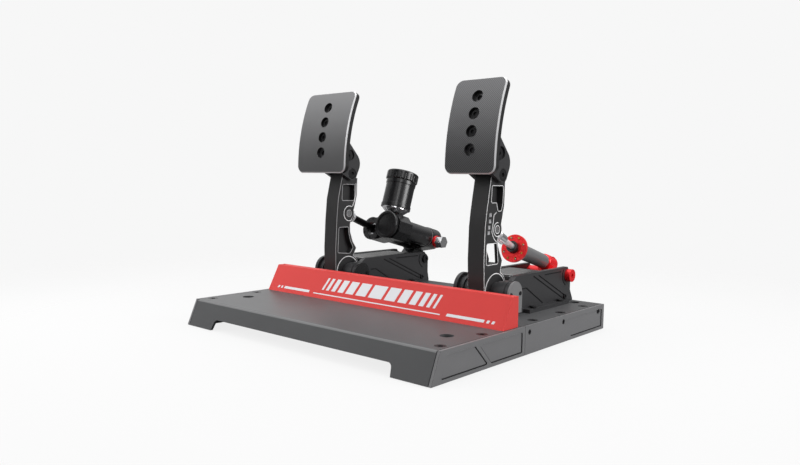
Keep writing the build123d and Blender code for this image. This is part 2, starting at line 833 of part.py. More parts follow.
# Screws of both modules
module_bolts = []
cheek_screws = []
cover_screws = []
for cx, rear_y in ((-pedal_x, brake_rear_y), (pedal_x, throttle_rear_y)):
    for side in (-1, 1):
        outer = cx + side * cheek_outer
        for y in module_bolt_ys:
            screw = cap_screw(
                module_bolt_head_r, module_bolt_head, module_bolt_r, module_bolt_length + sheet, module_bolt_r
            )
            bolt_x = outer + side * cheek_foot_width / 2
            module_bolts.append(Pos(bolt_x, y, deck_top + cheek_foot_thick) * screw)
        seat = (outer, rear_y - tail_length / 2, deck_top + tail_height / 2)
        place = Plane(origin=seat, x_dir=(0, 1, 0), z_dir=(side, 0, 0))
        screw = cap_screw(
            cheek_screw_head_r, cheek_screw_head, cheek_screw_shank_r, cheek_screw_length, cheek_screw_head_r
        )
        cheek_screws.append(place.location * screw)
    cover_x = cx + cheek_outer + housing_thick
    for sign in (-1, 1):
        screw_y = pivot_y + sign * (housing_r - cover_screw_head_r - cover_screw_r)
        place = Plane(origin=(cover_x + cover_thick, screw_y, pivot_z), x_dir=(0, 1, 0), z_dir=(1, 0, 0))
        screw = cap_screw(
            cover_screw_head_r, cover_screw_head, cover_screw_r, cover_screw_length, cover_screw_r
        )
        cover_screws.append(place.location * screw)
put("module_bolts", module_bolts)
put("cheek_screws", cheek_screws)
put("cover_screws", cover_screws)


# A pedal arm with its foot round the pivot and a tongue for the tilting face
def arm_body(cx, front, rear, upper_rear, pin):
    points = list(front) + list(reversed(upper_rear)) + [(pin[0] + pin_boss_r * pin_cheek_share, pin[1])]
    points += list(reversed(rear)) + [(0.0, 0.0)]
    body = poly(*from_pivot(points))
    body += Pos(pivot_y, pivot_z) * belt(tilt_pivot, tongue_low_r, tilt_upper, tongue_high_r)
    body += Pos(pivot_y + pin[0], pivot_z + pin[1]) * Circle(pin_boss_r)
    body += Pos(pivot_y, pivot_z) * Circle(arm_foot_r)
    arm = side_solid(body, cx - arm_half, cx + arm_half)
    reach = arm_half + overrun
    arm -= rod_x(pivot_y, pivot_z, shaft_r + running_fit, cx - reach, cx + reach)
    slot_y0 = pivot_y + pin[0] - fork_slot_front
    slot_y1 = pivot_y + pin[0] + fork_slot_back
    slot_z0 = pivot_z + pin[1] - fork_slot_low
    slot_z1 = pivot_z + pin[1] + fork_slot_high
    arm -= block(cx - fork_slot_half, cx + fork_slot_half, slot_y0, slot_y1, slot_z0, slot_z1)
    arm -= rod_x(pivot_y + pin[0], pivot_z + pin[1], pin_r, cx - reach, cx + reach)
    for y, z in (tilt_pivot, tilt_upper):
        arm -= rod_x(pivot_y + y, pivot_z + z, ear_screw_r, cx - reach, cx + reach)
    return arm


def blind_pocket(arm, cx, points, depth):
    face = outline(from_pivot(points), pocket_round)
    arm -= side_solid(face, cx - arm_half - overrun, cx - arm_half + depth)
    return arm - side_solid(face, cx + arm_half - depth, cx + arm_half + overrun)


def arm_pin(word, cx, pin):
    reach = arm_half - pin_recess
    put(word + "_arm_pin", rod_x(pivot_y + pin[0], pivot_z + pin[1], pin_r, cx - reach, cx + reach))


brake_arm = arm_body(-pedal_x, brake_front, brake_rear, brake_upper_rear, brake_pin)
brake_arm = blind_pocket(brake_arm, -pedal_x, brake_pocket_high, pocket_depth)
brake_arm = blind_pocket(brake_arm, -pedal_x, brake_pocket_low, pocket_depth)
put("brake_arm", brake_arm)
arm_pin("brake", -pedal_x, brake_pin)

throttle_arm = arm_body(pedal_x, throttle_front, throttle_rear, throttle_upper_rear, throttle_pin)
window = outline(from_pivot(throttle_window), pocket_round)
throttle_arm -= side_solid(window, pedal_x - arm_half - overrun, pedal_x + arm_half + overrun)
throttle_arm = blind_pocket(throttle_arm, pedal_x, throttle_pocket, pocket_depth)
for y, z in light_holes:
    window = Pos(pivot_y + y, pivot_z + z) * Rectangle(light_hole, light_hole)
    throttle_arm -= side_solid(window, pedal_x - arm_half - overrun, pedal_x + arm_half + overrun)
channel_y = (pivot_y + channel_front, pivot_y + fork_slot_back)
channel_z = (pivot_z + channel_low, pivot_z + channel_high)
throttle_arm -= block(pedal_x - channel_half, pedal_x + channel_half, *channel_y, *channel_z)
put("throttle_arm", throttle_arm)
arm_pin("throttle", pedal_x, throttle_pin)

# Curve of the foot faces, seen from the side
face_chord = hypot(face_high[0] - face_low[0], face_high[1] - face_low[1])
face_lean = atan2(face_high[0] - face_low[0], face_high[1] - face_low[1])
face_half_turn = asin(face_chord / 2 / face_radius)
face_mid = ((face_low[0] + face_high[0]) / 2, (face_low[1] + face_high[1]) / 2)
face_back = face_radius * cos(face_half_turn)
face_centre = (
    face_mid[0] + cos(face_lean) * face_back,
    face_mid[1] - sin(face_lean) * face_back,
)


def face_point(turn, depth):
    angle = face_lean + turn
    reach = face_radius - depth
    return (face_centre[0] - cos(angle) * reach, face_centre[1] + sin(angle) * reach)


def face_band(turn0, turn1, depth0, depth1):
    middle = (turn0 + turn1) / 2
    a, b, c = face_point(turn0, depth0), face_point(middle, depth0), face_point(turn1, depth0)
    d, e, f = face_point(turn1, depth1), face_point(middle, depth1), face_point(turn0, depth1)
    edges = ThreePointArc(a, b, c) + Line(c, d) + ThreePointArc(d, e, f) + Line(f, a)
    return make_face(edges)


def face_plane(cx, turn, depth):
    y, z = face_point(turn, depth)
    angle = face_lean + turn
    return Plane(origin=(cx, y, z), x_dir=(1, 0, 0), z_dir=(0, -cos(angle), sin(angle)))


hole_turns = [(face_hole_shift + step * face_hole_pitch) / face_radius for step in face_steps_share]


def build_face(word, cx, width):
    band = face_band(-face_half_turn, face_half_turn, 0, face_thick)
    plate = side_solid(band, cx - width / 2, cx + width / 2)
    corners = [edge for edge in plate.edges() if abs(edge.length - face_thick) < overrun / 10]
    plate = fillet(corners, face_corner)
    curved = [face for face in plate.faces() if face.area > width * face_chord / 2]
    front = sorted(curved, key=lambda face: face.center().Y)[0]
    plate = chamfer(front.edges(), face_edge)
    for turn in hole_turns:
        plane = face_plane(cx, turn, 0)
        plate -= along(plane, face_bore_r, -face_bore, overrun)
        plate -= along(plane, face_screw_r + screw_fit, -face_thick - overrun, overrun)
    put(word + "_face", plate)

    low_turn = face_half_turn * 2 * pad_low_share
    high_turn = face_half_turn * 2 * pad_high_share
    ear = belt(ear_pad_high, ear_pad_r, ear_cam, ear_cam_r)
    ear += belt(ear_cam, ear_cam_r, tilt_pivot, ear_lower_r)
    ear += belt(tilt_pivot, ear_lower_r, ear_pad_low, ear_pad_r)
    ear += belt(ear_pad_low, ear_pad_r, ear_pad_high, ear_pad_r)
    ear += poly(ear_pad_high, ear_cam, tilt_pivot, ear_pad_low)
    ear = Pos(pivot_y, pivot_z) * ear
    bracket = side_solid(ear, cx - ear_outer, cx + ear_outer)
    swing = face_half_turn * ear_swing_share
    before = face_band(-swing, swing, -ear_front_reach, face_thick)
    bracket -= side_solid(before, cx - ear_outer - overrun, cx + ear_outer + overrun)
    pad = face_band(low_turn, high_turn, face_thick, face_thick + pad_thick)
    room = face_band(-swing, swing, face_thick + pad_thick, ear_rear_reach)
    bracket -= side_solid(room, cx - ear_inner, cx + ear_inner)
    bracket += side_solid(pad, cx - ear_outer, cx + ear_outer)
    upper = (pivot_y + tilt_upper[0], pivot_z + tilt_upper[1])
    lower = (pivot_y + tilt_pivot[0], pivot_z + tilt_pivot[1])
    slot_r = hypot(upper[0] - lower[0], upper[1] - lower[1])
    slot_turn = degrees(atan2(upper[1] - lower[1], upper[0] - lower[0]))
    slot = arc_slot(lower, slot_r, slot_turn, tilt_reach + tilt_slot_spare, ear_screw_r + side_gap)
    wide_slot = arc_slot(lower, slot_r, slot_turn, tilt_reach + tilt_slot_spare, ear_head_r + side_gap)
    bracket -= side_solid(slot, cx - ear_outer - overrun, cx + ear_outer + overrun)
    for side in (-1, 1):
        cut_low, cut_high = sorted((cx + side * (ear_outer - ear_recess), cx + side * (ear_outer + overrun)))
        bracket -= side_solid(wide_slot, cut_low, cut_high)
        bracket -= rod_x(lower[0], lower[1], ear_head_r + side_gap, cut_low, cut_high)
    reach = ear_outer + overrun
    bracket -= rod_x(lower[0], lower[1], ear_screw_r + running_fit, cx - reach, cx + reach)
    depth = face_thick + pad_thick + overrun
    for turn in hole_turns[1:3]:
        bracket -= along(face_plane(cx, turn, 0), face_screw_r + screw_fit, -depth, 0)
    put(word + "_face_bracket", bracket)

    # Screws of the face in its two middle holes
    screws = []
    for turn in hole_turns[1:3]:
        screw = cap_screw(face_head_r, face_head, face_screw_r, face_screw_length, socket_across)
        screws.append(face_plane(cx, turn, face_bore).location * screw)
    put(word + "_face_screws", screws)

    # Two through screws of the tilt joint, with a head at both ends
    ear_screws = []
    for y, z in (lower, upper):
        half = ear_outer - ear_recess
        screw = rod_x(y, z, ear_screw_r, cx - half, cx + half)
        for side in (-1, 1):
            start = cx + side * (half + running_fit)
            stop = cx + side * (half + ear_head)
            screw += rod_x(y, z, ear_head_r, min(start, stop), max(start, stop))
            screw += rod_x(y, z, ear_screw_r, min(cx, stop), max(cx, stop))
            top = Plane(origin=(stop, y, z), x_dir=(0, 1, 0), z_dir=(-side, 0, 0))
            screw -= hex_along(top, socket_across, 0, ear_head * ear_socket_share)
        ear_screws.append(screw)
    put(word + "_tilt_screws", ear_screws)


build_face("brake", -pedal_x, brake_face_width)
build_face("throttle", pedal_x, throttle_face_width)


# Rod end with an eye on the arm pin; its window is a lightening hole
def rod_end(plane, cx, start, rod_radius, finish):
    eye = rod_x(start[0], start[1], eye_r, cx - eye_half, cx + eye_half)
    neck = push(plane, Rectangle(eye_half * 2, eye_r * eye_neck_share), eye_length - nut_thick)
    body = eye + neck + along(plane, rod_radius, eye_length - nut_thick, finish)
    body -= rod_x(start[0], start[1], pin_r + running_fit, cx - eye_half - overrun, cx + eye_half + overrun)
    axis = plane.z_dir
    window = (start[0] + axis.Y * eye_window_at, start[1] + axis.Z * eye_window_at)
    return body - rod_x(window[0], window[1], eye_window_r, cx - eye_half - overrun, cx + eye_half + overrun)


# Brake pushrod with a ball that pushes the piston
brake_cx = -pedal_x
pin_at = (pivot_y + brake_pin[0], pivot_z + brake_pin[1])
tilt = radians(cylinder_tilt)
ball_at = (cylinder_front[0] + cos(tilt) * ball_depth, cylinder_front[1] - sin(tilt) * ball_depth)
rod_length = hypot(ball_at[0] - pin_at[0], ball_at[1] - pin_at[1])
rod_tilt = degrees(atan2(pin_at[1] - ball_at[1], ball_at[0] - pin_at[0]))
rod_plane = tilted_plane(brake_cx, pin_at, rod_tilt)
pushrod = rod_end(rod_plane, brake_cx, pin_at, rod_r, rod_length - rod_neck_length)
pushrod += along(rod_plane, rod_neck_r, rod_length - rod_neck_length - overrun, rod_length)
pushrod += Pos(brake_cx, ball_at[0], ball_at[1]) * Sphere(ball_r)
put("brake_pushrod", pushrod)
brake_nut = hex_along(rod_plane, nut_across, eye_length - nut_thick, eye_length)
brake_nut -= along(rod_plane, rod_r, eye_length - nut_thick - overrun, eye_length + overrun)
put("brake_lock_nut", brake_nut)

# Main cylinder with its front flange
main_plane = tilted_plane(brake_cx, cylinder_front, cylinder_tilt)
cylinder = along(main_plane, brake_flange_r, 0, brake_flange)
cylinder += along(main_plane, cylinder_r, 0, cylinder_length)
cylinder -= along(main_plane, flange_hole_r, -overrun, brake_flange)
cylinder -= along(main_plane, bore_r, brake_flange, cylinder_length - cylinder_end_wall)
for index in range(flange_dimple_count):
    turn = 2 * pi * (index + 0.5) / flange_dimple_count
    spot = main_plane * Pos(flange_dimple_ring * cos(turn), flange_dimple_ring * sin(turn), flange_dimple / 2)
    cylinder -= spot * Cylinder(flange_dimple_r, flange_dimple)
put("brake_cylinder", cylinder)

piston_start = brake_flange + piston_gap
piston = along(main_plane, bore_r - piston_fit, piston_start, piston_start + piston_length)
piston -= along(main_plane, ball_r + ball_fit, piston_start - overrun, ball_depth + ball_r + ball_fit)
put("brake_piston", piston)

# Second cylinder beside the main one, with a dial at its front
side_z = cylinder_front[1] - side_axis_run * sin(tilt) / cos(tilt) + side_axis_rise
side_start = (cylinder_front[0] + side_axis_run, side_z)
side_axis = tilted_plane(brake_cx + side_axis_x, side_start, cylinder_tilt)
rise_along = side_axis_rise * cos(tilt)
pair = belt((0, 0), manifold_r * manifold_waist_share, (-side_axis_x, rise_along), cylinder_r + manifold_wall)
octagon = RegularPolygon(manifold_r, manifold_sides, major_radius=False, rotation=180 / manifold_sides)
manifold = push(side_axis.offset(manifold_start), pair + octagon, manifold_length)
manifold += along(side_axis, side_tube_r, manifold_start, side_tube_end)
manifold += along(side_axis, manifold_neck_r, manifold_neck_start, manifold_start)
manifold -= along(side_axis, side_tube_bore_r, manifold_start + manifold_length / 2, side_tube_end + overrun)
manifold -= along(main_plane, cylinder_r, -overrun, cylinder_length + overrun)

lean_dir = (0, sin(radians(reservoir_lean)), cos(radians(reservoir_lean)))
res_plane = Plane(
    origin=(brake_cx + reservoir_x, reservoir_base[0], reservoir_base[1]), x_dir=(1, 0, 0), z_dir=lean_dir
)
manifold -= along(res_plane, reservoir_stem_r, -reservoir_stem_sink, overrun)

knob = along(side_axis, side_knob_r, 0, side_knob)
knob = chamfer(knob.edges().filter_by(GeomType.CIRCLE), side_knob_edge)
knob -= along(side_axis, side_knob_dish_r, -overrun, side_knob_dish)
knob += along(side_axis, rear_bolt_r, side_knob, manifold_start + nut_thick)
put("brake_dial", knob)
dial_bore_end = manifold_start + nut_thick + side_gap
manifold -= along(side_axis, rear_bolt_r + running_fit, manifold_neck_start - overrun, dial_bore_end)
put("brake_manifold", manifold)

# Rear block that closes both cylinders and reaches down to the rear bolt
block_shape = belt((0, 0), end_block_r, (-side_axis_x, rise_along), end_block_r)
end_block = push(side_axis.offset(side_tube_end), block_shape, end_block_length)
rear_edges = end_block.faces().sort_by(Axis.Y)[-1].edges()
end_block = chamfer(rear_edges, end_block_edge)
saddle_top = (brake_rear_y + saddle_run, saddle_top_z)
saddle = belt((brake_rear_y, rear_pivot_z), saddle_boss_r, saddle_top, saddle_boss_r)
saddle += poly(
    (brake_rear_y - saddle_foot, deck_top + tail_height),
    (brake_rear_y + cheek_tail, deck_top + tail_height),
    (brake_rear_y + saddle_boss_r, rear_pivot_z),
    (brake_rear_y - saddle_boss_r * saddle_share, rear_pivot_z),
)
end_block += side_solid(saddle, brake_cx - saddle_half, brake_cx + saddle_half)
end_block -= along(main_plane, cylinder_r, -overrun, cylinder_length)
saddle_reach = saddle_half + overrun
end_block -= rod_x(brake_rear_y, rear_pivot_z, rear_bolt_r, brake_cx - saddle_reach, brake_cx + saddle_reach)
sensor_start = brake_cx + side_axis_x + end_block_r
sensor_at = (sensor_y, sensor_z)
end_block -= rod_x(*sensor_at, sensor_stub_r, sensor_start - sensor_stub, sensor_start + overrun)
put("brake_end_block", end_block)

# Pressure sensor with a ring, a hexagon and a stub that sits in the rear block
sensor = rod_x(*sensor_at, sensor_stub_r, sensor_start - sensor_stub, sensor_start)
sensor += rod_x(*sensor_at, sensor_ring_r, sensor_start, sensor_start + sensor_ring)
sensor_plane = Plane(origin=(sensor_start + sensor_ring, *sensor_at), x_dir=(0, 1, 0), z_dir=(1, 0, 0))
sensor += hex_along(sensor_plane, sensor_hex_across, 0, sensor_hex)
put("brake_pressure_sensor", sensor)

# Reservoir, its stem in the manifold and its screw cap
res_outer = reservoir_r + reservoir_ring
reservoir = along(res_plane, reservoir_r, 0, reservoir_height)
reservoir += along(res_plane, res_outer, 0, reservoir_ring_height)
reservoir += along(res_plane, res_outer, reservoir_height - reservoir_ring_height, reservoir_height)
reservoir += along(res_plane, reservoir_neck_r, reservoir_height, reservoir_height + reservoir_neck)
inside_r = reservoir_neck_r - reservoir_wall
reservoir -= along(res_plane, inside_r, reservoir_wall, reservoir_height + reservoir_neck + overrun)
reservoir += along(res_plane, reservoir_stem_r, -reservoir_stem_sink, reservoir_wall)
put("brake_reservoir", reservoir)

cap_start = reservoir_height + reservoir_gap
cap = along(res_plane, cap_outer_r, cap_start, cap_start + cap_height)
cap = chamfer(cap.edges().filter_by(GeomType.CIRCLE), cap_edge)
for index in range(cap_rib_count):
    turn = 2 * pi * index / cap_rib_count
    spot = res_plane.offset(cap_start) * Pos(cap_outer_r * cos(turn), cap_outer_r * sin(turn))
    cap -= extrude(spot * Circle(cap_rib_r), amount=cap_height - cap_top)
neck_end = reservoir_height + reservoir_neck
cap -= along(res_plane, reservoir_neck_r + reservoir_gap, cap_start - overrun, neck_end)
put("brake_reservoir_cap", cap)

# Throttle damper between the arm pin and the rear bolt
throttle_cx = pedal_x
damper_pin = (pivot_y + throttle_pin[0], pivot_z + throttle_pin[1])
rod_tilt = degrees(atan2(damper_pin[1] - rear_pivot_z, throttle_rear_y - damper_pin[0]))
rod_plane = tilted_plane(throttle_cx, damper_pin, rod_tilt)
damper_rod = rod_end(rod_plane, throttle_cx, damper_pin, damper_rod_r, damper_rod_end)
put("throttle_rod", damper_rod)
throttle_nut = hex_along(rod_plane, nut_across, eye_length - nut_thick, eye_length)
throttle_nut -= along(rod_plane, damper_rod_r, eye_length - nut_thick - overrun, eye_length + overrun)
put("throttle_lock_nut", throttle_nut)

# The body leans less than the rod, its bore follows the rod
cross_y = damper_pin[0] + damper_cross * cos(radians(rod_tilt))
cross_z = damper_pin[1] - damper_cross * sin(radians(rod_tilt))
body_lean = radians(damper_body_tilt)
body_y = cross_y - damper_cross_depth * cos(body_lean)
body_z = cross_z + damper_cross_depth * sin(body_lean)
body_plane = tilted_plane(throttle_cx, (body_y, body_z), damper_body_tilt)
rod_bore = along(rod_plane, damper_rod_r + gland_fit, damper_gland_start - overrun, damper_bore_end)
flange = along(body_plane, damper_flange_r, 0, damper_flange)
gland = along(rod_plane, damper_gland_r, damper_gland_start, damper_gland_end)
flange += gland & along(body_plane, damper_flange_r, -damper_flange_r, damper_flange)
flange -= rod_bore
front_face = body_plane
for index in range(flange_hole_count):
    turn = 2 * pi * (index + 0.5) / flange_hole_count
    spot = front_face * Pos(flange_dimple_ring * cos(turn), flange_dimple_ring * sin(turn))
    flange -= extrude(spot * Circle(flange_dimple_r), amount=flange_dimple)
put("throttle_damper_flange", flange)

tube = cone_along(body_plane, damper_front_r, damper_rear_r, damper_flange, damper_seam)
tube -= rod_bore
put("throttle_damper_tube", tube)

knuckle = along(body_plane, knuckle_r, damper_seam, damper_end)
knuckle = fillet(knuckle.edges().filter_by(GeomType.CIRCLE), knuckle_round)
belt_top = (body_y + knuckle_belt_at * cos(body_lean), body_z - knuckle_belt_at * sin(body_lean))
knuckle_belt = belt(belt_top, knuckle_belt_r, (throttle_rear_y, rear_pivot_z), knuckle_belt_r)
knuckle += side_solid(knuckle_belt, throttle_cx - knuckle_belt_half, throttle_cx + knuckle_belt_half)
boss_reach = cheek_inner - side_gap
boss_low = throttle_cx - boss_reach
boss_high = throttle_cx + boss_reach
knuckle += rod_x(throttle_rear_y, rear_pivot_z, knuckle_boss_r, boss_low, boss_high)
knuckle -= rod_x(
    throttle_rear_y, rear_pivot_z, rear_bolt_r + running_fit, boss_low - overrun, boss_high + overrun
)
put("throttle_damper_knuckle", knuckle)

# Move everything so that the middle of the overall box stands on the origin
every_shape = [shape for shapes in nodes.values() for shape in shapes]
span = Compound([solid for shape in every_shape for solid in shape.solids()]).bounding_box()
shift = Pos(-span.center().X, -span.center().Y, -span.min.Z)
print("shift", round(-span.center().X, 5), round(-span.center().Y, 5), round(-span.min.Z, 5))
print("size", span.size)
for name, shapes in nodes.items():
    solids = [shift * solid for shape in shapes for solid in shape.solids()]
    export_step(solids[0] if len(solids) == 1 else Compound(solids), "parts/" + name + ".step")
print("nodes", len(nodes))
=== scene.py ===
import bmesh
import bpy
import json
import math
from mathutils import Matrix, Vector

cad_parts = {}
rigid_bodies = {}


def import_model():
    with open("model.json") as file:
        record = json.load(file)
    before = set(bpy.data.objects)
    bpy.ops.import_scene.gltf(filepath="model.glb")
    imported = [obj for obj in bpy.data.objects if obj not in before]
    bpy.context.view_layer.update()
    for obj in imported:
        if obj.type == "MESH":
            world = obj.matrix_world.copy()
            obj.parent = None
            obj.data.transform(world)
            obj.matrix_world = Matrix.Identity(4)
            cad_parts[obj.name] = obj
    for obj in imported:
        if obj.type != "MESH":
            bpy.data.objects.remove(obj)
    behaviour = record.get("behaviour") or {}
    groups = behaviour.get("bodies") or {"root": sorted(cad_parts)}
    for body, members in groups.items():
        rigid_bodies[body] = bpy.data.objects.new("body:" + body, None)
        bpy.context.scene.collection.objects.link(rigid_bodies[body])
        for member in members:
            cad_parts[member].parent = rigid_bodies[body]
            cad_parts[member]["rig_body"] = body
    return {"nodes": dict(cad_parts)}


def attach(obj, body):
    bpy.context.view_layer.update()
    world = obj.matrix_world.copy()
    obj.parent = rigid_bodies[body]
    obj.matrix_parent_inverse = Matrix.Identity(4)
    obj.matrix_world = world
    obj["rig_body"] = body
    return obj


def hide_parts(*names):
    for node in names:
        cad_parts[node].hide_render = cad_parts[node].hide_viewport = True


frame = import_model()
nodes = frame["nodes"]
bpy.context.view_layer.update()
print("frame loaded with", len(nodes), "nodes")

mm = 0.001
across = Vector((1, 0, 0))
frameShift = -7.542
moduleX = 111.5  # from the middle of the base to the middle of each pedal module
moduleSides = {"brake": -moduleX, "throttle": moduleX}
deckTop = 29.4
meshSet = {"merge": 2e-6, "flat": 0.6, "sharp": 32.0, "outline": 30.0}


# a point given in millimetres of the base plate's own middle
def at(x, y, z):
    return Vector((x, y + frameShift, z)) * mm


# camera
cameraSet = {
    "place": (0.5306, -0.616341, 0.1729),
    "yaw": 40.90,
    "pitch": -4.42,
    "roll": 0.78,
    "lens": 31.553,
    "sensor": 36.0,
    "near": 0.01,
    "far": 50,
}


def makeCamera(values):
    yaw, pitch, roll = (math.radians(values[key]) for key in ("yaw", "pitch", "roll"))
    ahead = Vector((-math.sin(yaw) * math.cos(pitch), math.cos(yaw) * math.cos(pitch), math.sin(pitch)))
    right = Vector((math.cos(yaw), math.sin(yaw), 0))
    up = right.cross(ahead)
    turned = right * math.cos(roll) + up * math.sin(roll)
    upright = up * math.cos(roll) - right * math.sin(roll)
    data = bpy.data.cameras.new("photoCamera")
    data.lens = values["lens"]
    data.sensor_width = values["sensor"]
    data.clip_start = values["near"]
    data.clip_end = values["far"]
    camera = bpy.data.objects.new("photoCamera", data)
    bpy.context.scene.collection.objects.link(camera)
    place = Matrix((turned, upright, -ahead)).transposed().to_4x4()
    place.translation = Vector(values["place"])
    camera.matrix_world = place
    bpy.context.scene.camera = camera


makeCamera(cameraSet)
print("camera placed")


# shared shader groups
variationSet = {"patchDetail": 3, "grainDetail": 2, "patchShare": 0.6, "grainShare": 0.4}
twillSet = {"low": -0.2, "fineShare": 0.35, "mainShare": 0.65}


def newGroup(name, inputs, outputs):
    group = bpy.data.node_groups.new(name, "ShaderNodeTree")
    for label, kind, value in inputs:
        socket = group.interface.new_socket(label, in_out="INPUT", socket_type=kind)
        socket.default_value = value
    for label, kind in outputs:
        group.interface.new_socket(label, in_out="OUTPUT", socket_type=kind)
    return group, group.nodes.new("NodeGroupInput"), group.nodes.new("NodeGroupOutput")


def addNode(tree, kind, **values):
    node = tree.nodes.new(kind)
    for key, value in values.items():
        setattr(node, key, value)
    return node


def math2(tree, operation, a, b=None, clamp=False):
    node = addNode(tree, "ShaderNodeMath", operation=operation, use_clamp=clamp)
    for index, value in enumerate((a, b)):
        if value is None:
            continue
        if isinstance(value, (int, float)):
            node.inputs[index].default_value = value
        else:
            tree.links.new(value, node.inputs[index])
    return node.outputs[0]


# slow changes of tone and gloss over a surface, with a fine grain as height
def makeFinishGroup():
    group, start, end = newGroup(
        "finishVariation",
        [
            ("Color", "NodeSocketColor", (0.5, 0.5, 0.5, 1)),
            ("Roughness", "NodeSocketFloat", 0.5),
            ("Tone Spread", "NodeSocketFloat", 0.1),
            ("Gloss Spread", "NodeSocketFloat", 0.05),
            ("Grain Scale", "NodeSocketFloat", 1500.0),
            ("Patch Scale", "NodeSocketFloat", 30.0),
        ],
        [("Color", "NodeSocketColor"), ("Roughness", "NodeSocketFloat"), ("Height", "NodeSocketFloat")],
    )
    where = addNode(group, "ShaderNodeTexCoord")
    patch = addNode(group, "ShaderNodeTexNoise")
    patch.inputs["Detail"].default_value = variationSet["patchDetail"]
    grain = addNode(group, "ShaderNodeTexNoise")
    grain.inputs["Detail"].default_value = variationSet["grainDetail"]
    link = group.links.new
    link(where.outputs["Object"], patch.inputs["Vector"])
    link(where.outputs["Object"], grain.inputs["Vector"])
    link(start.outputs["Patch Scale"], patch.inputs["Scale"])
    link(start.outputs["Grain Scale"], grain.inputs["Scale"])
    blended = math2(group, "ADD",
                    math2(group, "MULTIPLY", patch.outputs["Fac"], variationSet["patchShare"]),
                    math2(group, "MULTIPLY", grain.outputs["Fac"], variationSet["grainShare"]))
    signed = math2(group, "SUBTRACT", blended, 0.5)
    gain = math2(group, "ADD", math2(group, "MULTIPLY", signed, start.outputs["Tone Spread"]), 1.0)
    scaled = addNode(group, "ShaderNodeVectorMath", operation="SCALE")
    link(start.outputs["Color"], scaled.inputs[0])
    link(gain, scaled.inputs["Scale"])
    gloss = math2(group, "ADD", math2(group, "MULTIPLY", signed, start.outputs["Gloss Spread"]),
                  start.outputs["Roughness"], clamp=True)
    link(scaled.outputs[0], end.inputs["Color"])
    link(gloss, end.inputs["Roughness"])
    link(grain.outputs["Fac"], end.inputs["Height"])
    return group


# a diagonal woven pattern in the X and Z directions of a flat upright face
def makeTwillGroup():
    group, start, end = newGroup(
        "diagonalTwill",
        [("Threads", "NodeSocketFloat", 2400.0)],
        [("Mask", "NodeSocketFloat"), ("Height", "NodeSocketFloat")],
    )
    where = addNode(group, "ShaderNodeTexCoord")
    parts = addNode(group, "ShaderNodeSeparateXYZ")
    group.links.new(where.outputs["Object"], parts.inputs[0])
    rising = math2(group, "ADD", parts.outputs["X"], parts.outputs["Z"])
    falling = math2(group, "SUBTRACT", parts.outputs["X"], parts.outputs["Z"])
    waveA = math2(group, "SINE", math2(group, "MULTIPLY", falling, start.outputs["Threads"]))
    waveB = math2(group, "SINE", math2(group, "MULTIPLY", rising, start.outputs["Threads"]))
    raised = math2(group, "MAXIMUM", waveB, twillSet["low"])
    fine = math2(group, "MULTIPLY", raised, twillSet["fineShare"])
    both = math2(group, "ADD", math2(group, "MULTIPLY", waveA, twillSet["mainShare"]), fine)
    mask = math2(group, "ADD", math2(group, "MULTIPLY", both, 0.5), 0.5, clamp=True)
    group.links.new(mask, end.inputs["Mask"])
    group.links.new(mask, end.inputs["Height"])
    return group


finishGroup = makeFinishGroup()
twillGroup = makeTwillGroup()


# materials
coatRoughness = 0.12


def makeFinish(name, color, roughness, metallic=0.0, tone=0.15, gloss=0.08, grain=1500.0, patch=30.0,
               bump=0.1, depth=0.00004, coat=0.0, specular=0.5):
    material = bpy.data.materials.new(name)
    material.use_nodes = True
    tree = material.node_tree
    shader = tree.nodes["Principled BSDF"]
    shader.inputs["Metallic"].default_value = metallic
    shader.inputs["Specular IOR Level"].default_value = specular
    shader.inputs["Coat Weight"].default_value = coat
    shader.inputs["Coat Roughness"].default_value = coatRoughness
    finish = addNode(tree, "ShaderNodeGroup", node_tree=finishGroup)
    finish.inputs["Color"].default_value = (*color, 1)
    finish.inputs["Roughness"].default_value = roughness
    finish.inputs["Tone Spread"].default_value = tone
    finish.inputs["Gloss Spread"].default_value = gloss
    finish.inputs["Grain Scale"].default_value = grain
    finish.inputs["Patch Scale"].default_value = patch
    raised = addNode(tree, "ShaderNodeBump")
    raised.inputs["Strength"].default_value = bump
    raised.inputs["Distance"].default_value = depth
    tree.links.new(finish.outputs["Color"], shader.inputs["Base Color"])
    tree.links.new(finish.outputs["Roughness"], shader.inputs["Roughness"])
    tree.links.new(finish.outputs["Height"], raised.inputs["Height"])
    tree.links.new(raised.outputs["Normal"], shader.inputs["Normal"])
    return material


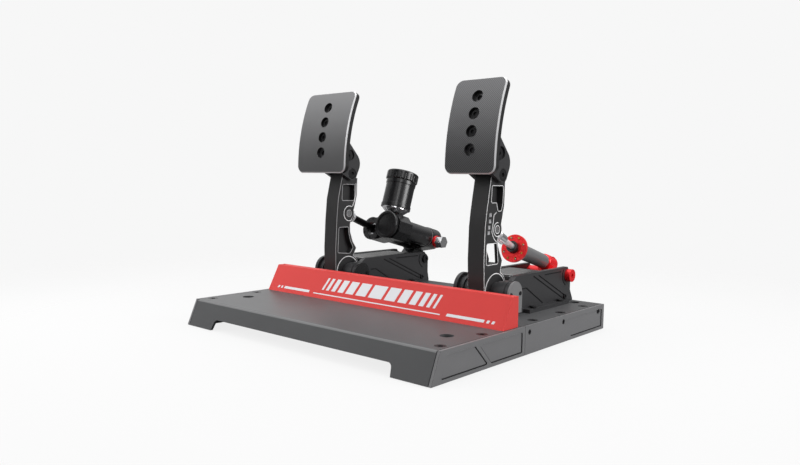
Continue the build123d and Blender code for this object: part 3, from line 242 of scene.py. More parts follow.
finishSet = {
    "deckCoat": dict(color=(0.062, 0.063, 0.065), roughness=0.42, specular=0.26, tone=0.25, grain=1800,
                     bump=0.3, depth=0.00006),
    "railCoat": dict(color=(0.125, 0.125, 0.129), roughness=0.38, tone=0.22, grain=1800, bump=0.3,
                     depth=0.00006),
    # painted highlight: a lighter coat for the faces along the front deck's bend
    "bendPaintedHighlight": dict(color=(0.115, 0.116, 0.118), roughness=0.36, specular=0.4, tone=0.25, grain=1800,
                     bump=0.3),
    # painted highlight for the outline of the brake arm's sides
    "outlineHighlightGrey": dict(color=(0.42, 0.42, 0.43), roughness=0.35, metallic=0.1, tone=0.05, grain=2500,
                        bump=0.05),
    # near black for real joints, and also painted shade in the cheek grooves and along the rail panels
    "jointAndShadeBlack": dict(color=(0.012, 0.012, 0.013), roughness=0.6, specular=0.2, grain=2000),
    # painted highlight for the rail bevels that face down
    "railEdgeHighlight": dict(color=(0.30, 0.30, 0.31), roughness=0.4, grain=2000),
    "stopRed": dict(color=(0.53, 0.044, 0.04), roughness=0.55, specular=0.22, tone=0.12, grain=2200,
                    bump=0.25, depth=0.00006),
    "printWhite": dict(color=(0.60, 0.60, 0.62), roughness=0.5, tone=0.06, grain=2500),
    "cheekMetal": dict(color=(0.034, 0.034, 0.036), roughness=0.40, metallic=0.3, grain=3200, bump=0.25),
    "armBlack": dict(color=(0.032, 0.032, 0.033), roughness=0.36, metallic=0.3, grain=3000, bump=0.2),
    "plainBlack": dict(color=(0.014, 0.014, 0.015), roughness=0.27, specular=0.6, metallic=0.2, grain=3000,
                       bump=0.12),
    # painted highlight for arm outlines, pivot rings, arm lines and hole walls
    "outlineHighlight": dict(color=(0.85, 0.85, 0.86), roughness=0.35, metallic=0.1, tone=0.05, grain=2500,
                         bump=0.05),
    # painted highlight for the chamfers of the foot faces
    "chamferHighlight": dict(color=(0.60, 0.60, 0.61), roughness=0.34, metallic=0.25, tone=0.05, grain=2500,
                       bump=0.05),
    "brakeFaceMetal": dict(color=(0.27, 0.27, 0.276), roughness=0.29, metallic=0.9, tone=0.12, grain=2600,
                           bump=0.15),
    "faceSide": dict(color=(0.014, 0.014, 0.015), roughness=0.35, metallic=0.3, grain=2600, bump=0.1),
    "polishedSteel": dict(color=(0.80, 0.80, 0.82), roughness=0.14, metallic=0.95, tone=0.08, grain=900,
                          bump=0.05),
    "satinSteel": dict(color=(0.74, 0.74, 0.76), roughness=0.30, metallic=0.6, tone=0.08, grain=2500,
                       bump=0.08),
    "screwBlack": dict(color=(0.006, 0.006, 0.007), roughness=0.42, specular=0.25, grain=2500, bump=0.1),
    "rodBlack": dict(color=(0.02, 0.02, 0.021), roughness=0.12, metallic=0.9, tone=0.1, grain=900,
                     bump=0.04),
    "redMetal": dict(color=(0.74, 0.012, 0.016), roughness=0.28, metallic=0.35, tone=0.15, grain=2500,
                     bump=0.12),
    "tubeGrey": dict(color=(0.20, 0.20, 0.205), roughness=0.30, metallic=0.5, tone=0.15, grain=2500,
                     bump=0.1),
    "goldScrew": dict(color=(0.75, 0.5, 0.2), roughness=0.25, metallic=0.9, grain=1500),
    "coverGrey": dict(color=(0.15, 0.15, 0.153), roughness=0.5, tone=0.12, grain=2200, bump=0.2),
    "reservoirBlack": dict(color=(0.010, 0.010, 0.011), roughness=0.26, tone=0.2, grain=2500, bump=0.1),
    "topPlateMetal": dict(color=(0.50, 0.50, 0.50), roughness=0.2, metallic=0.8, grain=2500, bump=0.1),
    "footRubber": dict(color=(0.02, 0.02, 0.02), roughness=0.8, tone=0.3, grain=1500, bump=0.4),
}
finishes = {name: makeFinish(name, **values) for name, values in finishSet.items()}


# the throttle face carries a fine diagonal weave under a thin clear coat
weaveSet = {
    "base": dict(color=(0.07, 0.07, 0.073), roughness=0.30, metallic=0.85, tone=0.1, grain=2600, coat=0.15),
    "light": (0.24, 0.24, 0.246),
    "bump": 0.35,
    "depth": 0.00008,
}


def makeWeave(name, values):
    material = makeFinish(name, **values["base"])
    tree = material.node_tree
    shader = tree.nodes["Principled BSDF"]
    twill = addNode(tree, "ShaderNodeGroup", node_tree=twillGroup)
    mix = addNode(tree, "ShaderNodeMix", data_type="RGBA")
    mix.inputs["B"].default_value = (*values["light"], 1)
    toned = shader.inputs["Base Color"].links[0].from_socket
    tree.links.new(twill.outputs["Mask"], mix.inputs["Factor"])
    tree.links.new(toned, mix.inputs["A"])
    tree.links.new(mix.outputs["Result"], shader.inputs["Base Color"])
    raised = shader.inputs["Normal"].links[0].from_node
    raised.inputs["Strength"].default_value = values["bump"]
    raised.inputs["Distance"].default_value = values["depth"]
    tree.links.new(twill.outputs["Height"], raised.inputs["Height"])
    return material


finishes["throttleWeave"] = makeWeave("throttleWeave", weaveSet)
print("materials made:", len(finishes))


# CAD nodes as finished pieces with broken edges
def finishNode(name, materials, width=0.3, segments=2, choose=None):
    node = nodes[name]
    build = bmesh.new()
    build.from_mesh(node.data)
    bmesh.ops.remove_doubles(build, verts=build.verts, dist=meshSet["merge"])
    bmesh.ops.dissolve_limit(build, angle_limit=math.radians(meshSet["flat"]),
                             verts=build.verts, edges=build.edges)
    limit = math.radians(meshSet["sharp"])
    bevelled = set()
    if width > 0:
        edges = [edge for edge in build.edges
                 if len(edge.link_faces) == 2 and edge.calc_face_angle(0.0) >= limit]
        made = bmesh.ops.bevel(build, geom=edges, offset=width * mm, offset_type="OFFSET",
                               affect="EDGES", segments=segments, profile=0.5, material=-1,
                               clamp_overlap=True, loop_slide=True)
        bevelled = set(made["faces"])
    for face in build.faces:
        face.smooth = True
        if choose:
            face.material_index = choose(face, face in bevelled)
    for edge in build.edges:
        edge.smooth = not (len(edge.link_faces) == 2 and edge.calc_face_angle(0.0) >= limit)
    return addPiece(name + "_finished", build, materials, node["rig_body"], name)


def addPiece(name, build, materials, body, replaced=None):
    mesh = bpy.data.meshes.new(name)
    build.to_mesh(mesh)
    build.free()
    for key in materials:
        mesh.materials.append(finishes[key])
    piece = bpy.data.objects.new(name, mesh)
    bpy.context.scene.collection.objects.link(piece)
    if not replaced:
        mesh.shade_smooth()
        mesh.set_sharp_from_angle(angle=math.radians(meshSet["sharp"]))
    shading = piece.modifiers.new("weightedNormals", "WEIGHTED_NORMAL")
    shading.keep_sharp = True
    shading.weight = 80
    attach(piece, body)
    if replaced:
        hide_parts(replaced)
    return piece


# front, painted highlight on the chamfer, and dark sides of a foot face, told by the angle to its curve
faceSet = {"front": 0.9, "chamfer": 0.55}
faceCentre = at(0, 195.88, 185.08)


def faceParts(face, bevelled):
    outward = face.calc_center_median() - faceCentre
    outward.x = 0
    lean = face.normal.dot(outward.normalized())
    return 0 if lean > faceSet["front"] else 1 if lean > faceSet["chamfer"] else 2


# piece: bevel width in mm, segments, materials
edgeWork = {
    "rear_deck": (0.5, 2, ["deckCoat"]),
    "heel_stop": (0.5, 2, ["stopRed"]),
    "deck_screws": (0.25, 1, ["screwBlack"]),
    "rail_screws": (0.2, 1, ["screwBlack"]),
    "brake_sensor_cover": (0.4, 2, ["plainBlack"]),
    "throttle_sensor_cover": (0.4, 2, ["coverGrey"]),
    "brake_dial": (0.4, 2, ["plainBlack"]),
    "brake_end_block": (0.5, 2, ["plainBlack"]),
    "brake_manifold": (0.5, 2, ["plainBlack"]),
    "brake_cylinder": (0.3, 2, ["plainBlack"]),
    "brake_reservoir": (0.4, 2, ["reservoirBlack"]),
    "brake_reservoir_cap": (0.25, 2, ["reservoirBlack"]),
    "brake_pushrod": (0.3, 2, ["rodBlack"]),
    "throttle_rod": (0.3, 2, ["satinSteel"]),
    "brake_lock_nut": (0.4, 2, ["satinSteel"]),
    "throttle_lock_nut": (0.4, 2, ["satinSteel"]),
    "throttle_damper_knuckle": (0.3, 2, ["redMetal"]),
    "throttle_damper_tube": (0.3, 2, ["tubeGrey"]),
    "module_bolts": (0.25, 1, ["screwBlack"]),
    "cheek_screws": (0.25, 1, ["screwBlack"]),
    "cover_screws": (0.15, 1, ["screwBlack"]),
    "heel_stop_screws": (0.25, 1, ["screwBlack"]),
    "cross_beam": (0.5, 1, ["deckCoat"]),
    "rubber_feet": (0.4, 1, ["footRubber"]),
}
for word in moduleSides:
    edgeWork[f"{word}_rear_block"] = (0.4, 1, ["cheekMetal"])
    edgeWork[f"{word}_top_plate"] = (0.3, 1, ["topPlateMetal"])
    edgeWork[f"{word}_pivot_drum"] = (0.6, 2, ["cheekMetal"])
    edgeWork[f"{word}_sensor_barrel"] = (0.4, 2, ["cheekMetal"])
    edgeWork[f"{word}_pivot_shaft"] = (0.4, 1, ["polishedSteel"])
    edgeWork[f"{word}_arm_pin"] = (0.5, 2, ["polishedSteel"])
    edgeWork[f"{word}_face_bracket"] = (0.5, 2, ["cheekMetal"])
    edgeWork[f"{word}_face_screws"] = (0.3, 1, ["screwBlack"])
    edgeWork[f"{word}_tilt_screws"] = (0.3, 1, ["screwBlack"])
for name, (width, segments, materials) in edgeWork.items():
    finishNode(name, materials, width, segments)

# painted highlight: the faces along the front deck's bend get a lighter colour than the rest of the deck
bendHighlightSet = {"low": 0.5, "high": 0.95, "forward": -0.3}


def deckBendHighlight(face, bevelled):
    bent = bendHighlightSet["low"] < face.normal.z < bendHighlightSet["high"] and face.normal.y < bendHighlightSet["forward"]
    return 1 if bent and not bevelled else 0


finishNode("front_deck", ["deckCoat", "bendPaintedHighlight"], 0.6, 2, choose=deckBendHighlight)

# cheeks with painted shade on the walls of their grooves, distances in mm from the middle of a module
cheekSet = {"outer": 28.75, "shadeBand": 0.8, "under": 0.1, "over": 0.05}


def cheekGrooveShade(face, bevelled):
    reach = abs(abs(face.calc_center_median().x) / mm - moduleX)
    low = cheekSet["outer"] - cheekSet["shadeBand"] - cheekSet["under"]
    return 1 if not bevelled and low < reach < cheekSet["outer"] - cheekSet["over"] else 0


for word in moduleSides:
    for side in ("left", "right"):
        finishNode(f"{word}_cheek_{side}", ["cheekMetal", "jointAndShadeBlack"], 0.3, 2, choose=cheekGrooveShade)
print("plain pieces, front deck and cheeks finished")

# arms, and painted highlight strips along the outlines of their sides, with painted highlight on the hole
# walls near the top
armSet = {
    "brake": "outlineHighlightGrey",
    "throttle": "outlineHighlight",
    "round": 0.35,
    "half": 10.2,
    "line": 0.65,
    "proud": 0.06,
    "holes": ((2.8, 114.5), (10.2, 138.5)),
}


# strips along the sharp edges of the flat side faces, half a width in mm from a middle in mm
def outlineStrips(build, name, middle, half, width, proud, skipped):
    source = bmesh.new()
    source.from_mesh(nodes[name].data)
    bmesh.ops.remove_doubles(source, verts=source.verts, dist=meshSet["merge"])
    for face in source.faces:
        reach = abs(face.calc_center_median().x - middle * mm)
        if abs(face.normal.x) < 0.99 or abs(reach - half * mm) > 0.1 * mm:
            continue
        lift = face.normal * proud * mm
        for loop in face.loops:
            start, end = loop.vert.co, loop.link_loop_next.vert.co
            inward = face.normal.cross((end - start).normalized())
            angle = loop.edge.calc_face_angle(0.0)
            if angle < math.radians(meshSet["outline"]) or skipped((start + end) / 2, inward):
                continue
            low = [start, end, end + inward * width * mm, start + inward * width * mm]
            rows = [[build.verts.new(spot + step) for spot in low] for step in (lift * 0, lift)]
            build.faces.new(rows[0][::-1])
            build.faces.new(rows[1])
            for k in range(4):
                build.faces.new((rows[0][k], rows[0][(k + 1) % 4], rows[1][(k + 1) % 4], rows[1][k]))
    source.free()


def nearHoles(spot, inward=None):
    low, high = (at(0, *corner) for corner in armSet["holes"])
    return low.y < spot.y < high.y and low.z < spot.z < high.z


def holeWallHighlight(face, bevelled):
    return 1 if abs(face.normal.x) < 0.1 and nearHoles(face.calc_center_median()) else 0


for word, middle in moduleSides.items():
    finishNode(word + "_arm", ["armBlack", "outlineHighlight"], armSet["round"], 2, choose=holeWallHighlight)
    build = bmesh.new()
    outlineStrips(build, word + "_arm", middle, armSet["half"], armSet["line"], armSet["proud"],
                  nearHoles)
    addPiece(word + "_arm_highlight_outline", build, [armSet[word]], word + "_pedal")

# rails with dark joints, painted shade on their outer bevels with a painted highlight on the bevels that
# face down, and painted shadow lines round their panels
railSet = {
    "half": 179.2,
    "shadeBand": 0.9,
    "proud": 0.05,
    "joint": -14.0,
    "jointReach": 0.7,
    "wallLow": 1.2,
    "wallHigh": 28.7,
}


def railJointShadeHighlight(face, bevelled):
    spot = face.calc_center_median()
    if abs(spot.y - at(0, railSet["joint"], 0).y) < railSet["jointReach"] * mm:
        return 1
    outside = abs(spot.x) > (railSet["half"] - 0.1) * mm and abs(face.normal.x) < 0.97
    if not outside or not railSet["wallLow"] * mm < spot.z < railSet["wallHigh"] * mm:
        return 0
    return 2 if face.normal.z < -0.3 else 1


def upperEdge(spot, inward):
    return inward.z < -0.9


# painted shadow lines along the panel edges, all but the upper ones
build = bmesh.new()
for part in ("front_left", "front_right", "rear_left", "rear_right"):
    finishNode("rail_" + part, ["railCoat", "jointAndShadeBlack", "railEdgeHighlight"], 0.45, 2, choose=railJointShadeHighlight)
    outlineStrips(build, "rail_" + part, 0, railSet["half"], railSet["shadeBand"], railSet["proud"],
                  upperEdge)
addPiece("rail_shade_lines", build, ["jointAndShadeBlack"], "base")


# dark seams between decks and rails, with points along the deck and down the lip
deckSeamSet = {
    "x": 176.7,
    "width": 0.9,
    "proud": 0.03,
    "sunk": 0.02,
    "along": ((-150.3, deckTop), (162.6, deckTop)),
    "down": ((-162.2, 1.3), (-150.6, 28.9)),
    "lipOut": (0, -29.4, 12.35),
}


# a thin strip between two points, lying on a surface with the given normal
def addStrip(build, start, end, normal, width, proud):
    ahead = (end - start).normalized()
    side = normal.cross(ahead) * width * mm / 2
    low = [start - side, start + side, end + side, end - side]
    steps = (normal * -deckSeamSet["sunk"] * mm, normal * proud * mm)
    rows = [[build.verts.new(spot + step) for spot in low] for step in steps]
    build.faces.new(rows[0])
    build.faces.new(rows[1][::-1])
    for k in range(4):
        build.faces.new((rows[0][k], rows[1][k], rows[1][(k + 1) % 4], rows[0][(k + 1) % 4]))


build = bmesh.new()
lipOut = Vector(deckSeamSet["lipOut"]).normalized()
for side in (-1, 1):
    for key, normal in (("along", Vector((0, 0, 1))), ("down", lipOut)):
        start, end = (at(side * deckSeamSet["x"], *spot) for spot in deckSeamSet[key])
        addStrip(build, start, end, normal, deckSeamSet["width"], deckSeamSet["proud"])
bmesh.ops.recalc_face_normals(build, faces=build.faces)
addPiece("deck_seam_lines", build, ["jointAndShadeBlack"], "base")
print("rails finished")

# foot faces
finishNode("brake_face", ["brakeFaceMetal", "chamferHighlight", "faceSide"], 0, choose=faceParts)
finishNode("throttle_face", ["throttleWeave", "chamferHighlight", "faceSide"], 0, choose=faceParts)
print("foot faces finished")


# turned and set pieces
def axisFrame(origin, direction):
    z = Vector(direction).normalized()
    y = z.cross(across).normalized()
    x = y.cross(z)
    place = Matrix((x, y, z)).transposed().to_4x4()
    place.translation = Vector(origin)
    return place


def tilted(degrees):
    return Vector((0, math.cos(math.radians(degrees)), -math.sin(math.radians(degrees))))


cylinderTilt = 14.5
damperTilt = 16.8
mainAxis = axisFrame(at(-moduleX, 74.0, 106.0), tilted(cylinderTilt))
sideAxis = axisFrame(at(-82.5, 69.5, 113.264), tilted(cylinderTilt))
reservoirAxis = axisFrame(at(-87.5, 94.6, 132.2), (0, 0.309017, 0.951057))
rodAxis = axisFrame(at(moduleX, 21.5, 119.9), (0, 125.0, -58.9))
damperAxis = axisFrame(at(moduleX, 71.095, 96.045), tilted(damperTilt))
turnSteps = 48
headSet = {"segments": 24, "depthShare": 0.55, "rim": 0.02}


# a ring or collar turned from a closed profile of radius and distance in mm
def turned(build, profile, place):
    points = [build.verts.new((r * mm, 0, s * mm)) for r, s in profile]
    edges = [build.edges.new(pair) for pair in zip(points, points[1:] + points[:1])]
    before = set(build.faces)
    bmesh.ops.spin(build, geom=points + edges, cent=(0, 0, 0), axis=(0, 0, 1), angle=math.tau,
                   steps=turnSteps, use_merge=True, use_duplicate=False)
    faces = [face for face in build.faces if face not in before]
    bmesh.ops.recalc_face_normals(build, faces=faces)
    verts = {vert for face in faces for vert in face.verts}
    bmesh.ops.transform(build, matrix=place, verts=list(verts))


# a small socket screw head standing on the plane at zero
def socketHead(build, place, radius, height, socket, material=0):
    made = bmesh.ops.create_cone(build, cap_ends=True, segments=headSet["segments"],
                                 radius1=radius * mm, radius2=radius * mm, depth=height * mm,
                                 matrix=place @ Matrix.Translation((0, 0, height * mm / 2)))
    verts = set(made["verts"])
    faces = [face for face in build.faces if all(vert in verts for vert in face.verts)]
    up = place.to_3x3() @ Vector((0, 0, 1))
    top = max(faces, key=lambda face: face.calc_center_median().dot(up))
    bmesh.ops.inset_region(build, faces=[top], thickness=(radius - socket) * mm, use_even_offset=True)
    bmesh.ops.translate(build, verts=top.verts[:], vec=-up * height * mm * headSet["depthShare"])
    inner = bmesh.ops.inset_region(build, faces=[top], thickness=headSet["rim"] * mm,
                                   use_even_offset=True)
    for face in set(faces) | set(inner["faces"]) | {top}:
        if face.is_valid:
            face.material_index = material


# light collar between the reservoir and its stem
collarSet = {"top": 17.8, "low": 12.5, "inner": 6.1, "height": 6.0, "edge": 1.2, "gap": 0.05}
build = bmesh.new()
inner, top, height, gap = (collarSet[key] for key in ("inner", "top", "height", "gap"))
turned(build, [(inner, -height), (collarSet["low"], -height), (top, -collarSet["edge"]),
               (top, -gap), (inner, -gap)], reservoirAxis)
addPiece("reservoir_collar", build, ["polishedSteel"], "base")

# light ring between the second tube and its end block
tubeRingSet = {"radius": 13.3, "start": 84.6, "width": 1.6, "proud": 0.7, "sunk": 0.2, "edge": 0.3}
build = bmesh.new()
inner, outer = tubeRingSet["radius"] - tubeRingSet["sunk"], tubeRingSet["radius"] + tubeRingSet["proud"]
start, edge = tubeRingSet["start"], tubeRingSet["edge"]
end = start + tubeRingSet["width"]
turned(build, [(inner, start), (outer, start + edge), (outer, end - edge), (inner, end)], sideAxis)
addPiece("tube_seam_ring", build, ["tubeGrey"], "base")

# painted highlight rings round the pivots and painted highlight lines and arcs on both sides of the arms,
# in mm from the pivot
highlightLineSet = {"ring": 19.2, "ringWidth": 0.9, "half": 10.2, "proud": 0.12, "sunk": 0.02, "width": 0.8}
armHighlightLines = {
    "brake": [[(7.0, 82.6), (10.6, 89.0), (12.9, 97.0), (13.4, 104.0), (13.5, 112.0)]],
    "throttle": [[(-1.0, 84.5), (-5.8, 81.8), (-7.0, 74.0), (-9.2, 64.0), (-5.2, 57.0), (0.5, 52.8)]],
}
bossHighlightArcs = {"brake": (1.6, 74.0, 9.4, 62, 300), "throttle": (1.5, 66.2, 7.4, 80, 300)}


def addLine(build, points, x, side, width, place, closed=False):
    half = width / 2
    count = len(points)
    rails = []
    for index, (y, z) in enumerate(points):
        before = points[index - 1] if closed or index else points[index]
        after = points[(index + 1) % count] if closed or index < count - 1 else points[index]
        along = Vector((after[0] - before[0], after[1] - before[1])).normalized()
        out = Vector((-along.y, along.x)) * half
        rails.append(((y + out.x, z + out.y), (y - out.x, z - out.y)))
    low = side * (highlightLineSet["half"] - highlightLineSet["sunk"])
    high = side * (highlightLineSet["half"] + highlightLineSet["proud"])
    rows = []
    for left, right in rails:
        rows.append([build.verts.new(place + Vector((x + depth, spot[0], spot[1])) * mm)
                     for spot, depth in ((left, low), (left, high), (right, high), (right, low))])
    steps = range(count if closed else count - 1)
    for index in steps:
        a, b = rows[index], rows[(index + 1) % count]
        for k in range(4):
            build.faces.new((a[k], a[(k + 1) % 4], b[(k + 1) % 4], b[k]))
    if not closed:
        build.faces.new(rows[0])
        build.faces.new(rows[-1][::-1])


def arcPoints(y, z, radius, start, stop, steps=28):
    turns = [math.radians(start + (stop - start) * index / steps) for index in range(steps + 1)]
    return [(y + radius * math.cos(turn), z + radius * math.sin(turn)) for turn in turns]


pivotSpot = at(0, 20.0, 53.7)
for word, x in moduleSides.items():
    build = bmesh.new()
    for side in (-1, 1):
        ring = arcPoints(0, 0, highlightLineSet["ring"], 0, 360, 64)[:-1]
        addLine(build, ring, x, side, highlightLineSet["ringWidth"], pivotSpot, closed=True)
        addLine(build, arcPoints(*bossHighlightArcs[word]), x, side, highlightLineSet["width"], pivotSpot)
        for points in armHighlightLines[word]:
            addLine(build, points, x, side, highlightLineSet["width"], pivotSpot)
    bmesh.ops.recalc_face_normals(build, faces=build.faces)
    addPiece(f"{word}_arm_highlight_lines", build, ["outlineHighlight"], f"{word}_pedal")

# screws of the damper flange, two kinds in turn
flangeSet = {"ring": 12.9, "count": 8, "radius": 1.25, "height": 0.9, "sunk": 1.2, "socket": 0.6}
build = bmesh.new()
for index in range(flangeSet["count"]):
    turn = math.tau * (index + 0.5) / flangeSet["count"]
    ringSpot = Vector((math.cos(turn), math.sin(turn), 0)) * flangeSet["ring"] * mm
    place = damperAxis @ Matrix.Translation(ringSpot) @ Matrix.Rotation(math.pi, 4, "X")
    socketHead(build, place @ Matrix.Translation((0, 0, -flangeSet["sunk"] * mm)), flangeSet["radius"],
               flangeSet["height"] + flangeSet["sunk"], flangeSet["socket"], material=index % 2)
addPiece("flange_screws", build, ["goldScrew", "polishedSteel"], "damper_body")

# thick sleeve on the throttle rod behind its lock nut
sleeveSet = {"start": 18.05, "end": 31.0, "inner": 3.55, "outer": 5.8, "edge": 0.7}
build = bmesh.new()
start, end, inner, outer, edge = sleeveSet.values()
turned(build, [(inner, start), (outer - edge, start), (outer, start + edge), (outer, end - edge),
               (outer - edge, end), (inner, end)], rodAxis)
addPiece("throttle_rod_sleeve", build, ["polishedSteel"], "damper_rod")

# bleed screw under the main cylinder
bleedSet = {"along": 24.0, "radius": 2.8, "start": 11.6, "height": 3.2, "socket": 1.3}
build = bmesh.new()
down = mainAxis.to_3x3() @ Vector((0, 1, 0))
down = -down if down.z > 0 else down
spot = mainAxis @ Vector((0, 0, bleedSet["along"] * mm)) + down * bleedSet["start"] * mm
socketHead(build, axisFrame(spot, down), bleedSet["radius"], bleedSet["height"], bleedSet["socket"])
addPiece("bleed_screw", build, ["tubeGrey"], "base")


# pressure sensor: a red ring and a bright hexagon
sensorSet = {"tube": 29.0, "block": 14.2, "ring": 3.7}
ringEnd = -moduleX + sum(sensorSet.values())


def sensorParts(face, bevelled):
    return 0 if face.calc_center_median().x < ringEnd * mm else 1


finishNode("brake_pressure_sensor", ["redMetal", "polishedSteel"], 0.5, 2, choose=sensorParts)


# red flange of the damper with a black gland that stands in front of it
def damperParts(face, bevelled):
    depth = (damperAxis.inverted() @ face.calc_center_median()).z / mm
    return 1 if depth < -0.1 else 0


finishNode("throttle_damper_flange", ["redMetal", "plainBlack"], 0.35, 2, choose=damperParts)


# red bolt head on the right of the throttle module, dark shank and nut
boltHeadStart = 28.0


def boltParts(face, bevelled):
    return 0 if face.calc_center_median().x > (moduleX + boltHeadStart) * mm else 1


finishNode("throttle_rear_bolt", ["redMetal", "screwBlack"], 0.7, 2, choose=boltParts)
finishNode("brake_rear_bolt", ["screwBlack"], 0.3, 2)
print("turned and set pieces made")

# stripes printed on the heel stop, in millimetres along X and up the slope
stripeSet = {
    "slant": 5.0,
    "slantHeight": 15.5,
    "lift": 0.01,
    "proud": 0.07,
    "foot": (0, -47.9, deckTop),
    "slope": (0, 16.2, 30.7),
    "bars": [
        (-150.0, -104.0, 5.0, 8.0), (104.0, 150.0, 5.0, 8.0),
        (-156.0, -153.0, 5.0, 8.0), (-162.0, -159.0, 5.0, 8.0),
        (153.0, 156.0, 5.0, 8.0), (159.0, 162.0, 5.0, 8.0),
        (-96.0, 96.0, 5.0, 6.2),
    ],
    "fieldWidths": [3.0, 4.5, 6.5, 9.0, 12.0, 15.5, 20.0, 15.5, 12.0, 9.0, 6.5, 4.5, 3.0],
    "fieldGap": 4.2,
    "fieldLow": 11.0,
    "fieldHigh": 26.5,
}
slopeStart = at(*stripeSet["foot"])
slopeUp = Vector(stripeSet["slope"]).normalized()
slopeOut = Vector((0, -slopeUp.z, slopeUp.y))


def addStripe(build, x0, x1, s0, s1):
    lean = stripeSet["slant"] / stripeSet["slantHeight"]
    corners = ((x0 + lean * s0, s0), (x1 + lean * s0, s0), (x1 + lean * s1, s1), (x0 + lean * s1, s1))
    lift = slopeOut * stripeSet["lift"] * mm
    verts = [build.verts.new(slopeStart + across * x * mm + slopeUp * s * mm + lift) for x, s in corners]
    face = build.faces.new(verts)
    made = bmesh.ops.extrude_face_region(build, geom=[face])
    moved = [item for item in made["geom"] if isinstance(item, bmesh.types.BMVert)]
    bmesh.ops.translate(build, verts=moved, vec=slopeOut * stripeSet["proud"] * mm)


build = bmesh.new()
for bar in stripeSet["bars"]:
    addStripe(build, *bar)
widths = stripeSet["fieldWidths"]
x = -(sum(widths) + stripeSet["fieldGap"] * (len(widths) - 1)) / 2
for width in widths:
    addStripe(build, x, x + width, stripeSet["fieldLow"], stripeSet["fieldHigh"])
    x += width + stripeSet["fieldGap"]
bmesh.ops.recalc_face_normals(build, faces=build.faces)
addPiece("stop_stripes", build, ["printWhite"], "base")
print("stripes printed")

# the hidden piston keeps its CAD shape
nodes["brake_piston"].data.materials.clear()
nodes["brake_piston"].data.materials.append(finishes["polishedSteel"])

# floor, world and lamps
floorSet = {
    "radius": 0.95,
    "height": -0.0002,
    "segments": 96,
    "fade": (0.3, 0.9),
    "roughness": 0.9,
    "bounce": 0.22,
    "seenAlbedo": 0.08,
    "glow": 0.825,
    "back": 0.93,
}
worldSet = {"rise": (0.05, 0.9), "level": (0.13, 1.3), "left": (-0.7, -0.95), "leftLevel": (0, 0.3)}


def addRamp(tree, value, given, wanted):
    ramp = addNode(tree, "ShaderNodeMapRange", interpolation_type="SMOOTHSTEP")
    ramp.inputs["From Min"].default_value, ramp.inputs["From Max"].default_value = given
    ramp.inputs["To Min"].default_value, ramp.inputs["To Max"].default_value = wanted
    tree.links.new(value, ramp.inputs["Value"])
    return ramp.outputs["Result"]


def makeFloor():
    build = bmesh.new()
    bmesh.ops.create_circle(build, cap_ends=True, segments=floorSet["segments"], radius=floorSet["radius"],
                            matrix=Matrix.Translation((0, 0, floorSet["height"])))
    mesh = bpy.data.meshes.new("studioFloor")
    build.to_mesh(mesh)
    build.free()
    material = bpy.data.materials.new("studioFloor")
    material.use_nodes = True
    tree = material.node_tree
    shader = tree.nodes["Principled BSDF"]
    shader.inputs["Roughness"].default_value = floorSet["roughness"]
    shader.inputs["Specular IOR Level"].default_value = 0.0
    shader.inputs["Emission Color"].default_value = (1, 1, 1, 1)
    rays = addNode(tree, "ShaderNodeLightPath")
    seen = rays.outputs["Is Camera Ray"]
    change = math2(tree, "MULTIPLY", seen, floorSet["seenAlbedo"] - floorSet["bounce"])
    albedo = math2(tree, "ADD", change, floorSet["bounce"])
    grey = addNode(tree, "ShaderNodeCombineColor")
    for channel in ("Red", "Green", "Blue"):
        tree.links.new(albedo, grey.inputs[channel])
    tree.links.new(grey.outputs["Color"], shader.inputs["Base Color"])
    tree.links.new(math2(tree, "MULTIPLY", seen, floorSet["glow"]), shader.inputs["Emission Strength"])
    where = addNode(tree, "ShaderNodeTexCoord")
    length = addNode(tree, "ShaderNodeVectorMath", operation="LENGTH")
    tree.links.new(where.outputs["Object"], length.inputs[0])
    tree.links.new(addRamp(tree, length.outputs["Value"], floorSet["fade"], (1, 0)), shader.inputs["Alpha"])
    mesh.materials.append(material)
    floor = bpy.data.objects.new("studioFloor", mesh)
    bpy.context.scene.collection.objects.link(floor)


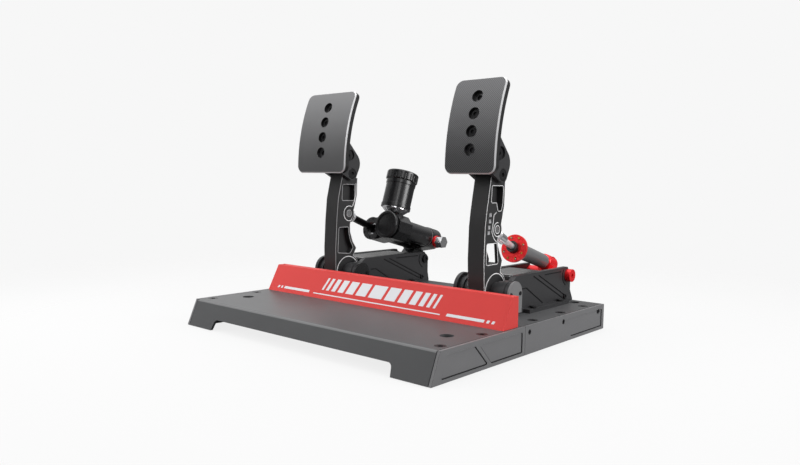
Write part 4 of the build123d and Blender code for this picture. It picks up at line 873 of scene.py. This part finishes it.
def makeWorld(values):
    world = bpy.data.worlds.new("studioWorld")
    bpy.context.scene.world = world
    world.use_nodes = True
    tree = world.node_tree
    background = tree.nodes["Background"]
    rays = addNode(tree, "ShaderNodeLightPath")
    seen = math2(tree, "MAXIMUM", rays.outputs["Is Camera Ray"], rays.outputs["Is Transmission Ray"])
    where = addNode(tree, "ShaderNodeTexCoord")
    parts = addNode(tree, "ShaderNodeSeparateXYZ")
    tree.links.new(where.outputs["Generated"], parts.inputs[0])
    rising = addRamp(tree, parts.outputs["Z"], values["rise"], values["level"])
    leftSide = addRamp(tree, parts.outputs["X"], values["left"], values["leftLevel"])
    level = math2(tree, "ADD", rising, leftSide)
    mix = addNode(tree, "ShaderNodeMix", data_type="FLOAT")
    mix.inputs["B"].default_value = floorSet["back"]
    tree.links.new(seen, mix.inputs["Factor"])
    tree.links.new(level, mix.inputs["A"])
    background.inputs["Color"].default_value = (1, 1, 1, 1)
    tree.links.new(mix.outputs["Result"], background.inputs["Strength"])


lampSet = {
    "overhead": {"place": (0.1, 0.1, 1.4), "aim": (0, 0, 0), "size": 1.1, "power": 8.5},
    "leftFront": {"place": (-0.7, -0.95, 0.5), "aim": (-0.1, -0.1, 0.05), "size": 0.5, "power": 6.5,
                  "mirrored": False},
    "leftRear": {"place": (-1.3, 0.7, 0.5), "aim": (-0.1, 0, 0.1), "size": 0.5, "power": 0.9},
    "leftLow": {"place": (-0.5, -0.32, 0.3), "aim": (-0.17, -0.15, 0.03), "size": 0.22, "power": 0.5,
                "mirrored": False},
    "right": {"place": (1.4, 0.45, 0.55), "aim": (0.1, 0, 0.1), "size": 0.7, "power": 15},
    "rightFront": {"place": (1.0, -1.1, 0.9), "aim": (0, 0, 0.1), "size": 0.4, "power": 2},
}


def makeLamp(name, place, aim, size, power, mirrored=True):
    data = bpy.data.lights.new(name + "Lamp", "AREA")
    data.shape = "SQUARE"
    data.size = size
    data.energy = power
    lamp = bpy.data.objects.new(name + "Lamp", data)
    bpy.context.scene.collection.objects.link(lamp)
    lamp.visible_glossy = mirrored
    lamp.location = place
    lamp.rotation_mode = "QUATERNION"
    lamp.rotation_quaternion = (Vector(aim) - Vector(place)).to_track_quat("-Z", "Y")


makeFloor()
makeWorld(worldSet)
for name, values in lampSet.items():
    makeLamp(name, **values)
bpy.context.scene.view_settings.view_transform = "Standard"
print("stage lit")
